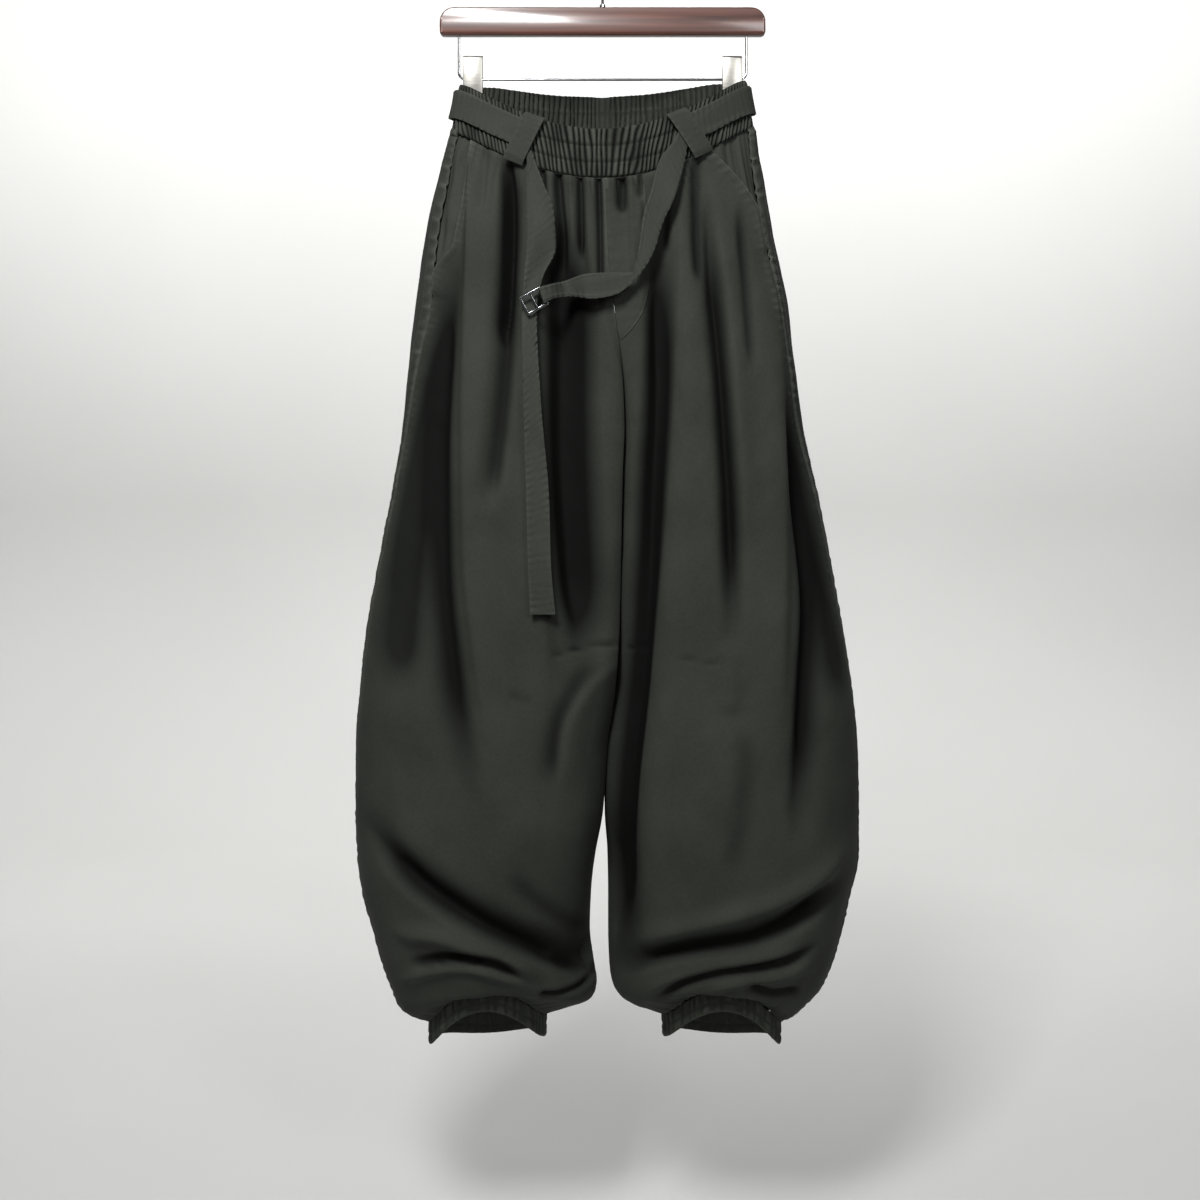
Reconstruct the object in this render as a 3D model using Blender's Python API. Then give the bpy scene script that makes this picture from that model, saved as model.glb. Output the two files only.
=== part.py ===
"""Wide-leg trousers with a gathered waist and cuffs, hung by a wooden clip hanger.

The origin is where the hook rests on its rail. +X is the wearer's left, -Y the front, +Z up.
Every cloth piece is a wall between two nets of points: the outer net is worked out from the
sections below, and the inner net is the same one moved in by the cloth's thickness.
"""

import math

import bpy
import numpy as np

# Driving dimensions, in metres.
CLOTH = 0.0015  # wall of one cloth panel
SEAM_GAP = 0.0003  # between two pieces that are sewn together
WAIST_SEAM = 0.0009  # between the band and the panels, whose columns are wider apart
WAIST_HALF = 0.159  # half the width of the waistband's top edge
BAND_HEIGHT = 0.053  # gathered waistband
BAND_FLARE = 0.010  # how much wider each side is at the band's lower edge
BAND_BULGE = 0.002  # how much further the lower edge stands out, front and back
WAIST_SIDE_Z = -0.1575  # top edge of the band at its sides
FRONT_SAG = 0.0625  # the free front edge hangs this far below the sides
BACK_SAG = 0.007
TILT = 0.0145  # rise of the whole waist towards the wearer's left
GATHERS = 124  # round the waistband
GATHER_HEIGHT = 0.0018
BAND_CLOTH = 0.0013  # the band's wall behind its gathers
CUFF_GATHERS = 38  # round each cuff
CUFF_HEIGHT = 0.024
CUFF_SEAM = 0.0012  # between the panels' lower edges and the cuff
OUTER_CORNER = 0.92  # under 1, a leg's front and back are flatter and its outer edge turns quicker
BELT_WIDTH = 0.031
BELT_CLOTH = 0.0016
BELT_OVER_CLIP = 0.0020  # how much further out it lies over a clip's back jaw
BAR_SIZE = (0.364, 0.014, 0.0315)  # the hanger's wooden bar
BAR_TOP = -0.0725
WIRE = 0.003  # diameter of the hook and of the clip wire
HOOK_RADIUS = 0.019  # inside the hook's bend
CLIP_SIZE = (0.0220, 0.0072, 0.062)
CLIP_PLATE = 0.0012

# The waist seen from above, for the wearer's left half: u runs from the centre back (-1) through
# the side (0) to the centre front (1). The back lies flat where the clip grips it.
WAIST_COLUMNS = ("u", "x", "y")
WAIST = (
    (-1.00, 0.0000, 0.0320),
    (-0.80, 0.0491, 0.0260),
    (-0.60, 0.0935, 0.0110),
    (-0.42, 0.1255, 0.0001),
    (-0.30, 0.1415, 0.0000),
    (-0.18, 0.1525, 0.0000),
    (-0.08, 0.1578, -0.0018),
    (0.00, 0.1590, -0.0060),
    (0.10, 0.1575, -0.0115),
    (0.20, 0.1512, -0.0175),
    (0.40, 0.1286, -0.0305),
    (0.60, 0.0935, -0.0440),
    (0.80, 0.0491, -0.0550),
    (1.00, 0.0000, -0.0590),
)

# Level sections of the trousers, from the band's lower edge to the cuffs: the heights at the side
# and at the centre or inseam, the sides and inner edges of the right (r) and left (l) leg, and the
# depths in front of and behind the plane of the hanger.
SECTION_COLUMNS = ("side_z", "inner_z", "side_r", "side_l", "inner_r", "inner_l", "front", "back")
SECTIONS = (
    (-0.2105, -0.2105, -0.1690, 0.1690,  0.0025, 0.0025, 0.060, 0.040),
    (-0.2400, -0.2400, -0.1785, 0.1745,  0.0035, 0.0035, 0.064, 0.050),
    (-0.2850, -0.2850, -0.1895, 0.1835,  0.0050, 0.0050, 0.070, 0.062),
    (-0.3300, -0.3300, -0.1985, 0.1915,  0.0070, 0.0070, 0.074, 0.070),
    (-0.3700, -0.3700, -0.2045, 0.2000,  0.0105, 0.0105, 0.077, 0.075),
    (-0.4100, -0.4100, -0.2095, 0.2080,  0.0150, 0.0150, 0.080, 0.078),
    (-0.4500, -0.4500, -0.2145, 0.2120,  0.0195, 0.0195, 0.083, 0.081),
    (-0.5000, -0.5000, -0.2190, 0.2185,  0.0225, 0.0225, 0.086, 0.084),
    (-0.5300, -0.5300, -0.2212, 0.2225,  0.0235, 0.0235, 0.088, 0.086),
    (-0.5450, -0.5450, -0.2225, 0.2250,  0.0238, 0.0238, 0.089, 0.087),
    (-0.6000, -0.6000, -0.2310, 0.2375,  0.0217, 0.0217, 0.092, 0.089),
    (-0.6900, -0.6900, -0.2482, 0.2536,  0.0202, 0.0202, 0.097, 0.091),
    (-0.7570, -0.7570, -0.2605, 0.2655,  0.0187, 0.0187, 0.101, 0.093),
    (-0.8240, -0.8240, -0.2684, 0.2760,  0.0143, 0.0143, 0.104, 0.095),
    (-0.8920, -0.8920, -0.2734, 0.2825,  0.0055, 0.0055, 0.106, 0.096),
    (-0.9590, -0.9590, -0.2740, 0.2840,  0.0010, 0.0020, 0.106, 0.096),
    (-1.0150, -1.0150, -0.2722, 0.2838, -0.0080, 0.0052, 0.105, 0.095),
    (-1.0600, -1.0600, -0.2660, 0.2745, -0.0127, 0.0060, 0.103, 0.094),
    (-1.1000, -1.1000, -0.2545, 0.2655, -0.0141, 0.0060, 0.100, 0.092),
    (-1.1380, -1.1380, -0.2440, 0.2547, -0.0096, 0.0072, 0.096, 0.090),
    (-1.1640, -1.1600, -0.2345, 0.2430, -0.0063, 0.0105, 0.092, 0.086),
    (-1.1850, -1.1760, -0.2260, 0.2240, -0.0110, 0.0200, 0.087, 0.080),
    (-1.1970, -1.1880, -0.2110, 0.2110, -0.0400, 0.0450, 0.078, 0.074),
    (-1.2030, -1.1950, -0.1935, 0.1985, -0.0630, 0.0670, 0.069, 0.070),
)
LAST_SECTION = len(SECTIONS) - 1
LEG = {-1: "r", 1: "l"}

# How a section is bent, by its number in the table above. waist is how far it keeps the waist's
# plan, oval how far it is one oval round both hips, and hip how full it is between the legs, down
# to the crotch; corner squares a leg's inner half, where the two legs lie side by side; sag and
# lift bend it down at the centre and up in mid-leg; seam and mouth are the places, as u, of the
# side seam and of the front panel's edge at the pocket.
DRAPE_COLUMNS = (
    "number", "waist", "oval", "hip", "corner",
    "front_sag", "front_lift", "back_lift", "seam", "mouth_r", "mouth_l",
)
DRAPE = (
    ( 0, 1.00, 1.00, 1.00, 0.40, 0.0625, 0.000,  0.000, 0.20, 0.345, 0.520),
    ( 1, 0.75, 1.00, 1.00, 0.40, 0.0600, 0.000,  0.000, 0.23, 0.365, 0.425),
    ( 2, 0.40, 1.00, 1.00, 0.40, 0.0520, 0.000,  0.000, 0.25, 0.388, 0.290),
    ( 3, 0.15, 0.92, 1.00, 0.36, 0.0430, 0.000,  0.000, 0.25, 0.365, 0.200),
    ( 4, 0.00, 0.75, 0.98, 0.32, 0.0330, 0.000,  0.000, 0.24, 0.240, 0.180),
    ( 5, 0.00, 0.50, 0.80, 0.28, 0.0240, 0.000,  0.000, 0.22, 0.200, 0.150),
    ( 6, 0.00, 0.25, 0.56, 0.25, 0.0150, 0.000,  0.000, 0.18, 0.170, 0.130),
    ( 7, 0.00, 0.05, 0.26, 0.24, 0.0050, 0.000,  0.000, 0.14, 0.140, 0.110),
    ( 8, 0.00, 0.00, 0.08, 0.24, 0.0010, 0.000,  0.000, 0.12, 0.120, 0.100),
    ( 9, 0.00, 0.00, 0.00, 0.24, 0.0000, 0.000,  0.000, 0.11, 0.110, 0.095),
    (10, 0.00, 0.00, 0.00, 0.28, 0.0000, 0.000,  0.000, 0.10, 0.100, 0.090),
    (11, 0.00, 0.00, 0.00, 0.38, 0.0000, 0.000,  0.000, 0.08, 0.080, 0.080),
    (13, 0.00, 0.00, 0.00, 0.58, 0.0000, 0.000,  0.000, 0.07, 0.070, 0.070),
    (16, 0.00, 0.00, 0.00, 0.84, 0.0000, 0.000,  0.000, 0.06, 0.060, 0.060),
    (17, 0.00, 0.00, 0.00, 0.93, 0.0000, 0.001,  0.000, 0.06, 0.060, 0.060),
    (18, 0.00, 0.00, 0.00, 1.00, 0.0000, 0.005, -0.001, 0.05, 0.050, 0.050),
    (19, 0.00, 0.00, 0.00, 1.00, 0.0000, 0.013, -0.005, 0.05, 0.050, 0.050),
    (20, 0.00, 0.00, 0.00, 1.00, 0.0000, 0.022, -0.010, 0.05, 0.050, 0.050),
    (21, 0.00, 0.00, 0.00, 1.00, 0.0000, 0.031, -0.014, 0.05, 0.050, 0.050),
    (22, 0.00, 0.00, 0.00, 1.00, 0.0000, 0.042, -0.016, 0.05, 0.050, 0.050),
    (23, 0.00, 0.00, 0.00, 1.00, 0.0000, 0.051, -0.018, 0.05, 0.050, 0.050),
)

# The largest folds. Each runs through its points (x, z); height is out of the cloth for a ridge
# and into it for a valley. minus and plus are how far it reaches to the two sides of its line:
# plus is to the right of a line that runs down, and above one that runs to the right.
FOLD_COLUMNS = ("leg", "face", "height", "minus", "plus", "line")
FOLD_END = 0.22  # the part of a fold's length over which it dies out at each end
FOLDS = (
    (
        "r", "front", 0.009, 0.007, 0.034,
        (
            (-0.144, -0.194), (-0.146, -0.408), (-0.146, -0.536),
            (-0.144, -0.675), (-0.133, -0.782), (-0.110, -0.943),
        ),
    ),
    (
        "r", "front", -0.012, 0.018, 0.012,
        (
            (-0.157, -0.317), (-0.173, -0.451), (-0.177, -0.558),
            (-0.173, -0.686), (-0.158, -0.814), (-0.129, -0.964),
        ),
    ),
    (
        "r", "front", -0.011, 0.012, 0.008,
        ((-0.096, -0.205), (-0.100, -0.408), (-0.110, -0.547), (-0.123, -0.643)),
    ),
    (
        "r", "front", -0.020, 0.014, 0.034,
        ((-0.058, -0.301), (-0.045, -0.440), (-0.042, -0.569), (-0.033, -0.686), (-0.014, -0.814)),
    ),
    (
        "r", "front", 0.007, 0.026, 0.010,
        ((0.001, -0.333), (0.014, -0.536), (0.016, -0.708), (0.004, -0.900)),
    ),
    (
        "r", "front", 0.007, 0.014, 0.010,
        ((-0.076, -0.301), (-0.070, -0.536), (-0.066, -0.686), (-0.058, -0.857)),
    ),
    (
        "r", "front", -0.017, 0.008, 0.020,
        (
            (-0.262, -0.956), (-0.219, -1.015), (-0.163, -1.055), (-0.110, -1.084),
            (-0.067, -1.105), (-0.024, -1.130), (0.008, -1.148),
        ),
    ),
    (
        "r", "front", 0.010, 0.009, 0.010,
        ((-0.238, -1.084), (-0.185, -1.084), (-0.142, -1.095), (-0.099, -1.112), (-0.058, -1.139)),
    ),
    (
        "l", "front", 0.009, 0.007, 0.040,
        (
            (0.090, -0.205), (0.082, -0.408), (0.073, -0.590),
            (0.056, -0.786), (0.043, -0.915), (0.023, -1.114),
        ),
    ),
    (
        "l", "front", -0.018, 0.009, 0.022,
        (
            (0.059, -0.291), (0.058, -0.440), (0.046, -0.622), (0.036, -0.772),
            (0.023, -0.900), (0.013, -1.050), (0.014, -1.157),
        ),
    ),
    (
        "l", "front", -0.014, 0.009, 0.009,
        ((0.110, -0.248), (0.123, -0.440), (0.130, -0.547), (0.135, -0.643), (0.137, -0.793)),
    ),
    (
        "l", "front", 0.007, 0.022, 0.008,
        ((0.171, -0.269), (0.188, -0.440), (0.193, -0.558), (0.191, -0.708), (0.185, -0.921)),
    ),
    (
        "l", "front", -0.013, 0.010, 0.016,
        ((0.196, -0.462), (0.215, -0.622), (0.224, -0.729), (0.217, -0.836), (0.202, -1.007)),
    ),
    (
        "l", "front", -0.015, 0.007, 0.016,
        (
            (0.004, -1.152), (0.051, -1.114), (0.104, -1.099),
            (0.160, -1.090), (0.224, -1.063), (0.267, -1.026),
        ),
    ),
    (
        "l", "front", 0.009, 0.009, 0.012,
        (
            (0.012, -1.130), (0.070, -1.086), (0.130, -1.065),
            (0.185, -1.048), (0.232, -1.026), (0.273, -0.986),
        ),
    ),
    (
        "r", "back", -0.014, 0.012, 0.020,
        ((-0.104, -0.200), (-0.122, -0.400), (-0.126, -0.600), (-0.118, -0.860)),
    ),
    (
        "r", "back", 0.008, 0.024, 0.009,
        ((-0.066, -0.190), (-0.080, -0.400), (-0.086, -0.620), (-0.076, -0.920)),
    ),
    (
        "r", "back", -0.013, 0.012, 0.012,
        ((-0.030, -0.300), (-0.042, -0.480), (-0.040, -0.640), (-0.016, -0.800)),
    ),
    (
        "l", "back", -0.014, 0.020, 0.012,
        ((0.108, -0.200), (0.128, -0.400), (0.134, -0.600), (0.124, -0.840)),
    ),
    (
        "l", "back", 0.008, 0.009, 0.024,
        ((0.070, -0.190), (0.086, -0.400), (0.092, -0.620), (0.084, -0.940)),
    ),
    (
        "l", "back", -0.013, 0.012, 0.012,
        ((0.044, -0.300), (0.056, -0.480), (0.058, -0.640), (0.048, -0.780)),
    ),
    (
        "r", "back", -0.012, 0.009, 0.016,
        ((-0.240, -1.035), (-0.190, -1.075), (-0.130, -1.100), (-0.030, -1.075)),
    ),
    (
        "r", "back", 0.009, 0.009, 0.009,
        ((-0.245, -1.090), (-0.190, -1.125), (-0.130, -1.140), (-0.030, -1.115)),
    ),
    (
        "l", "back", -0.012, 0.009, 0.016,
        ((0.030, -1.070), (0.130, -1.105), (0.190, -1.080), (0.245, -1.035)),
    ),
    (
        "l", "back", 0.009, 0.009, 0.009,
        ((0.030, -1.115), (0.130, -1.145), (0.190, -1.128), (0.250, -1.085)),
    ),
)

# The belt: one strap whose edges run from its free end up through the right loop, round the back,
# through the left loop and down to the buckle. x and z of both edges where it hangs in front.
TAIL_COLUMNS = ("z", "left_x", "right_x", "off")
RIGHT_TAIL = (
    (-0.742, -0.0762, -0.0500, 0.006),
    (-0.690, -0.0785, -0.0545, 0.006),
    (-0.622, -0.0805, -0.0565, 0.006),
    (-0.515, -0.0840, -0.0655, 0.007),
    (-0.420, -0.0860, -0.0700, 0.008),
    (-0.385, -0.0840, -0.0640, 0.009),
    (-0.350, -0.0810, -0.0500, 0.012),
    (-0.312, -0.0815, -0.0525, 0.013),
    (-0.280, -0.0820, -0.0640, 0.010),
    (-0.252, -0.0820, -0.0740, 0.001),
)
LEFT_TAIL_COLUMNS = ("upper_x", "upper_z", "lower_x", "lower_z", "off")
LEFT_TAIL = (
    (0.0790, -0.229, 0.0900, -0.250, 0.002),
    (0.0610, -0.256, 0.0860, -0.268, 0.006),
    (0.0520, -0.290, 0.0770, -0.298, 0.014),
    (0.0430, -0.320, 0.0650, -0.324, 0.014),
    (0.0390, -0.350, 0.0540, -0.358, 0.014),
    (0.0300, -0.380, 0.0360, -0.386, 0.013),
    (0.0080, -0.380, 0.0130, -0.404, 0.013),
    (-0.0160, -0.381, -0.0120, -0.408, 0.014),
    (-0.0400, -0.387, -0.0340, -0.404, 0.015),
    (-0.0560, -0.393, -0.0500, -0.407, 0.023),
    (-0.0680, -0.397, -0.0620, -0.414, 0.023),
)
BUCKLE_CENTRE = (-0.0730, -0.4110)
BUCKLE_SIZE = (0.0260, 0.0022, 0.0215)
BUCKLE_RAIL = 0.0035
BUCKLE_CLEARANCE = 0.0150  # in front of the cloth, with the belt's free end behind it
BUCKLE_TURN = math.radians(-29)
BELT_TURN = 0.63  # the belt follows the band to here, as a part of each half of its front
BELT_DOWN = 0.12  # its upper edge, as a part of the band's height
# The loops: which side, the place round it as u, and how far each leans, as an angle.
LOOPS = {
    "front_right": (-1, 0.658, 0.120),
    "front_left": (1, 0.615, 0.165),
    "back_right": (-1, -0.560, 0.0),
    "back_left": (1, -0.560, 0.0),
}
LOOP_HALF_TURN = 0.075  # half a loop's width, as an angle round the band
# A loop's profile, from above the band's top edge to below its lower one: down and out.
LOOP_PROFILE = (
    (-0.02, 0.0026), (0.04, 0.0058), (0.30, 0.0070), (0.62, 0.0074), (0.94, 0.0072), (1.06, 0.0050),
)
FLY_ROWS = (0.4, 5.7)  # sections that the fly reaches from and to
FLY_COLUMNS = 6  # columns of the front panel that it covers
FLY_CLOTH = 0.0012
PANEL_NET = {"front": (17, 35), "back": (14, 31)}  # columns and rows of a panel's net
COLUMN_SPREAD = 1.4
FACING_GAP = 0.0023  # between a pocket's facing and the front panel over it
CLIP_X = 0.145

# Colours are linear red, green and blue.
COTTON = ((0.043, 0.046, 0.041), 0.85, 0.0)
COTTON_TRIM = ((0.050, 0.053, 0.047), 0.85, 0.0)
MAHOGANY = ((0.091, 0.035, 0.023), 0.35, 0.0)
CHROME = ((0.62, 0.62, 0.63), 0.22, 1.0)
SATIN_NICKEL = ((0.58, 0.57, 0.54), 0.38, 1.0)
BLACK_STEEL = ((0.03, 0.03, 0.03), 0.35, 0.9)


def through(knots, values, at):
    """A monotone cubic through a table's rows, so that no bulge appears between two of them."""
    knots = np.asarray(knots, float)
    values = np.asarray(values, float)
    step = np.diff(knots)
    rise = np.diff(values) / step
    slope = np.zeros(len(knots))
    same = rise[:-1] * rise[1:] > 0
    w_left = 2 * step[1:] + step[:-1]
    w_right = step[1:] + 2 * step[:-1]
    with np.errstate(divide="ignore", invalid="ignore"):
        harmonic = (w_left + w_right) / (w_left / rise[:-1] + w_right / rise[1:])
    slope[1:-1] = np.where(same, harmonic, 0)
    slope[0] = rise[0]
    slope[-1] = rise[-1]
    at = np.clip(at, knots[0], knots[-1])
    span = np.clip(np.searchsorted(knots, at, side="right") - 1, 0, len(knots) - 2)
    t = (at - knots[span]) / step[span]
    return (
        values[span] * (1 + 2 * t) * (1 - t) ** 2
        + slope[span] * step[span] * t * (1 - t) ** 2
        + values[span + 1] * t**2 * (3 - 2 * t)
        + slope[span + 1] * step[span] * t**2 * (t - 1)
    )


def column(table, names, name, knots, at):
    place = names.index(name)
    return through(knots, [row[place] for row in table], at)


def section(name, row):
    """One column of the sections, at any row between them."""
    if name in SECTION_COLUMNS:
        return column(SECTIONS, SECTION_COLUMNS, name, range(len(SECTIONS)), row)
    return column(DRAPE, DRAPE_COLUMNS, name, [line[0] for line in DRAPE], row)


def waist_plan(u):
    knots = [row[0] for row in WAIST]
    return tuple(column(WAIST, WAIST_COLUMNS, name, knots, u) for name in ("x", "y"))


def sag(u, front, back):
    """How far an edge hangs below its sides: most at the centre, nothing at the side."""
    return np.where(u > 0, front, back) * np.abs(np.sin(math.pi / 2 * u)) ** 2.4


def plain_cloth(side, u, row):
    """The trousers' surface without folds. side is -1 for the wearer's right and 1 for the left."""
    u, row = np.broadcast_arrays(np.asarray(u, float), np.asarray(row, float))
    leg = LEG[side]
    outer = section(f"side_{leg}", row)
    inner = section(f"inner_{leg}", row) + side * SEAM_GAP / 2
    depth = np.where(u > 0, section("front", row), section("back", row))
    waist, oval, hip = (section(name, row) for name in ("waist", "oval", "hip"))
    quarter, half = math.pi / 2 * u, math.pi * u
    plan_x, plan_y = waist_plan(u)
    plan_y = plan_y - BAND_BULGE * u**3
    oval_x = inner + (outer - inner) * ((1 - waist) * np.cos(quarter) + waist * plan_x / WAIST_HALF)
    oval_y = -(1 - waist) * depth * np.sin(quarter) + waist * plan_y
    leg_x = (outer + inner) / 2 + (outer - inner) / 2 * np.cos(half)
    bow = np.abs(np.sin(half)) ** np.where(np.abs(u) > 0.5, section("corner", row), OUTER_CORNER)
    fill = np.where(np.abs(u) > 0.5, hip * (1 - bow), 0)
    leg_y = -depth * np.sign(u) * (bow + fill)
    x = oval * oval_x + (1 - oval) * leg_x
    y = oval * oval_y + (1 - oval) * leg_y
    across = (1 - np.cos(half)) / 2
    z = section("side_z", row) * (1 - across) + section("inner_z", row) * across
    z = z - sag(u, section("front_sag", row), BACK_SAG * waist) + TILT * x * waist
    lift = np.where(u > 0, section("front_lift", row), section("back_lift", row))
    return np.stack([x, y, z + lift * np.sin(half) ** 2], -1)


def unit(vectors):
    return vectors / np.maximum(np.linalg.norm(vectors, axis=-1, keepdims=True), 1e-12)


def outward(surface, side, u, row):
    """The surface's normal, from small steps across it and down it."""
    step = 0.004
    u, row = np.broadcast_arrays(np.asarray(u, float), np.asarray(row, float))
    before, after = (np.clip(u + change, -1, 1) for change in (-step, step))
    above, below = (np.clip(row + change, 0, LAST_SECTION) for change in (-step, step))
    across = surface(side, after, row) - surface(side, before, row)
    down = surface(side, u, below) - surface(side, u, above)
    return unit(np.cross(across, down)) * side


def distance_to_line(points, line):
    """Distance from each point to a fold's line, how far along it the nearest place is, and the
    side: 1 to the right of a line that runs down and above one that runs to the right, else -1."""
    line = np.asarray(line, float)
    steps = np.linspace(0, len(line) - 1, 4 * len(line))
    smooth = np.stack([through(range(len(line)), line[:, i], steps) for i in (0, 1)], -1)
    best = np.full(points.shape[:-1], 1e9)
    along = np.zeros(points.shape[:-1])
    side = np.zeros(points.shape[:-1])
    for i, (start, end) in enumerate(zip(smooth[:-1], smooth[1:])):
        way = end - start
        t = np.clip(((points - start) @ way) / (way @ way), 0, 1)
        offset = points - start - t[..., None] * way
        gap = np.linalg.norm(offset, axis=-1)
        nearer = gap < best
        along = np.where(nearer, (i + t) / (len(smooth) - 1), along)
        side = np.where(nearer, np.sign(way[0] * offset[..., 1] - way[1] * offset[..., 0]), side)
        best = np.minimum(gap, best)
    return best, along, side


def one_fold(places, tall, minus, plus, line):
    """A fold's height: full along its middle, nothing at its ends, steeper on its narrower side."""
    gap, along, side = distance_to_line(places, line)
    taper = np.clip(np.minimum(along, 1 - along) / FOLD_END, 0, 1)
    width = np.where(side > 0, plus, minus)
    return tall * taper * taper * (3 - 2 * taper) * np.exp(-((gap / width) ** 2))


def folds(side, u, row, base):
    """Height of the folds at each point, fading at the seams and at the band and cuff."""
    height = np.zeros(base.shape[:-1])
    for leg, face, tall, minus, plus, line in FOLDS:
        if leg == LEG[side]:
            here = (u > 0) if face == "front" else (u < 0)
            height += np.where(here, one_fold(base[..., ::2], tall, minus, plus, line), 0)
    seam_room = np.clip(np.minimum(np.abs(u) / 0.12, (1 - np.abs(u)) / 0.07), 0, 1)
    end_room = np.clip(np.minimum(row / 1.2, (LAST_SECTION - row) / 2), 0, 1)
    return height * seam_room * end_room


def cloth(side, u, row):
    """The trousers' outer surface, with its folds."""
    base = plain_cloth(side, u, row)
    return base + folds(side, u, row, base)[..., None] * outward(plain_cloth, side, u, row)


def moved_out(side, u, row, amount):
    return cloth(side, u, row) + amount * outward(cloth, side, u, row)


def band_point(angle, down, out):
    """A point of the waistband: angle goes round from the left side by the front, down is 0 at the
    top edge and 1 at the lower one, and out is the distance from its middle surface."""
    side = np.where(np.cos(angle) >= 0, 1, -1)
    u = np.arcsin(np.clip(np.abs(np.sin(angle)), 0, 1)) / (math.pi / 2) * np.where(np.sin(angle) >= 0, 1, -1)
    plan_x, plan_y = waist_plan(u)
    out = np.broadcast_to(out, np.shape(angle))
    x = side * plan_x * (1 + down * BAND_FLARE / WAIST_HALF)
    y = plan_y - down * BAND_BULGE * u**3
    z = WAIST_SIDE_Z - down * BAND_HEIGHT + TILT * x - sag(u, FRONT_SAG, BACK_SAG)
    return np.stack([x, y, z], -1) + out[..., None] * band_normal(angle)


def band_normal(angle):
    step = 0.01
    ahead, behind = (band_plan(angle + step), band_plan(angle - step))
    way = unit(ahead - behind)
    flat = np.stack([-way[..., 1], way[..., 0]], -1)
    return np.concatenate([flat, np.zeros_like(flat[..., :1])], -1)


def band_plan(angle):
    side = np.where(np.cos(angle) >= 0, 1, -1)
    u = np.arcsin(np.clip(np.abs(np.sin(angle)), 0, 1)) / (math.pi / 2) * np.where(np.sin(angle) >= 0, 1, -1)
    plan_x, plan_y = waist_plan(u)
    return np.stack([side * plan_x, plan_y], -1)


def even_angles(count):
    """Angles that divide the waist's length evenly, starting at the wearer's left side."""
    fine = np.linspace(0, 2 * math.pi, 2881)
    points = band_point(fine, 0.0, 0.0)
    length = np.concatenate([[0], np.cumsum(np.linalg.norm(np.diff(points, axis=0), axis=1))])
    return np.interp(np.arange(count) / count * length[-1], length, fine)


def material(name, finish):
    colour, roughness, metallic = finish
    made = bpy.data.materials.new(name)
    made.use_nodes = True
    shader = made.node_tree.nodes["Principled BSDF"]
    shader.inputs["Base Color"].default_value = (*colour, 1)
    shader.inputs["Roughness"].default_value = roughness
    shader.inputs["Metallic"].default_value = metallic
    made.diffuse_color = (*colour, 1)
    return made


def add_object(name, mesh, finish, collection):
    made = bpy.data.objects.new(name, mesh)
    mesh.materials.append(material(name, finish))
    collection.objects.link(made)
    return made


def wall(name, outer, inner, finish, collection, closed=False):
    """A closed wall between an outer and an inner net of rows by columns. closed joins the last
    column to the first, as on a cuff. The nets may have different numbers of rows."""
    nets = (outer, inner)
    columns = outer.shape[1]
    starts = (0, outer.shape[0] * columns)
    faces = []
    spans = columns if closed else columns - 1
    for start, net, turned in zip(starts, nets, (False, True)):
        for row in range(net.shape[0] - 1):
            for here in range(spans):
                there = (here + 1) % columns
                corners = [
                    start + row * columns + here,
                    start + (row + 1) * columns + here,
                    start + (row + 1) * columns + there,
                    start + row * columns + there,
                ]
                # Both nets split a cell along the same diagonal, so that layers fit each other.
                for triangle in (corners[:3], [corners[0], *corners[2:]]):
                    faces.append(triangle[::-1] if turned else triangle)
    last_outer = (outer.shape[0] - 1) * columns
    last_inner = starts[1] + (inner.shape[0] - 1) * columns
    for here in range(spans):
        there = (here + 1) % columns
        faces.append([here, there, starts[1] + there, starts[1] + here])
        faces.append([last_outer + there, last_outer + here, last_inner + here, last_inner + there])
    if not closed:
        for row in range(outer.shape[0] - 1):
            up, low = row * columns, (row + 1) * columns
            faces.append([low, up, starts[1] + up, starts[1] + low])
            up, low = up + columns - 1, low + columns - 1
            faces.append([up, low, starts[1] + low, starts[1] + up])
    mesh = bpy.data.meshes.new(name)
    mesh.from_pydata(np.concatenate([net.reshape(-1, 3) for net in nets]).tolist(), [], faces)
    mesh.validate()
    mesh.shade_smooth()
    made = add_object(name, mesh, finish, collection)
    return face_outwards(made)


def face_outwards(made):
    """Turns the faces round where the net runs the other way, so that the volume is positive."""
    volume = 0.0
    for polygon in made.data.polygons:
        corners = [made.data.vertices[i].co for i in polygon.vertices]
        for second, third in zip(corners[1:-1], corners[2:]):
            volume += corners[0].dot(second.cross(third))
    if volume < 0:
        made.data.flip_normals()
    return made


def section_rows(count, start=0.0, end=LAST_SECTION):
    """Rows spaced half by length down the side and half by section, so that the hem gets more."""
    fine = np.linspace(start, end, 400)
    line = plain_cloth(-1, np.zeros_like(fine), fine)
    length = np.concatenate([[0], np.cumsum(np.linalg.norm(np.diff(line, axis=0), axis=1))])
    measure = length / length[-1] + (fine - start) / (end - start)
    return np.interp(np.linspace(0, 2, count), measure, fine)


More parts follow.
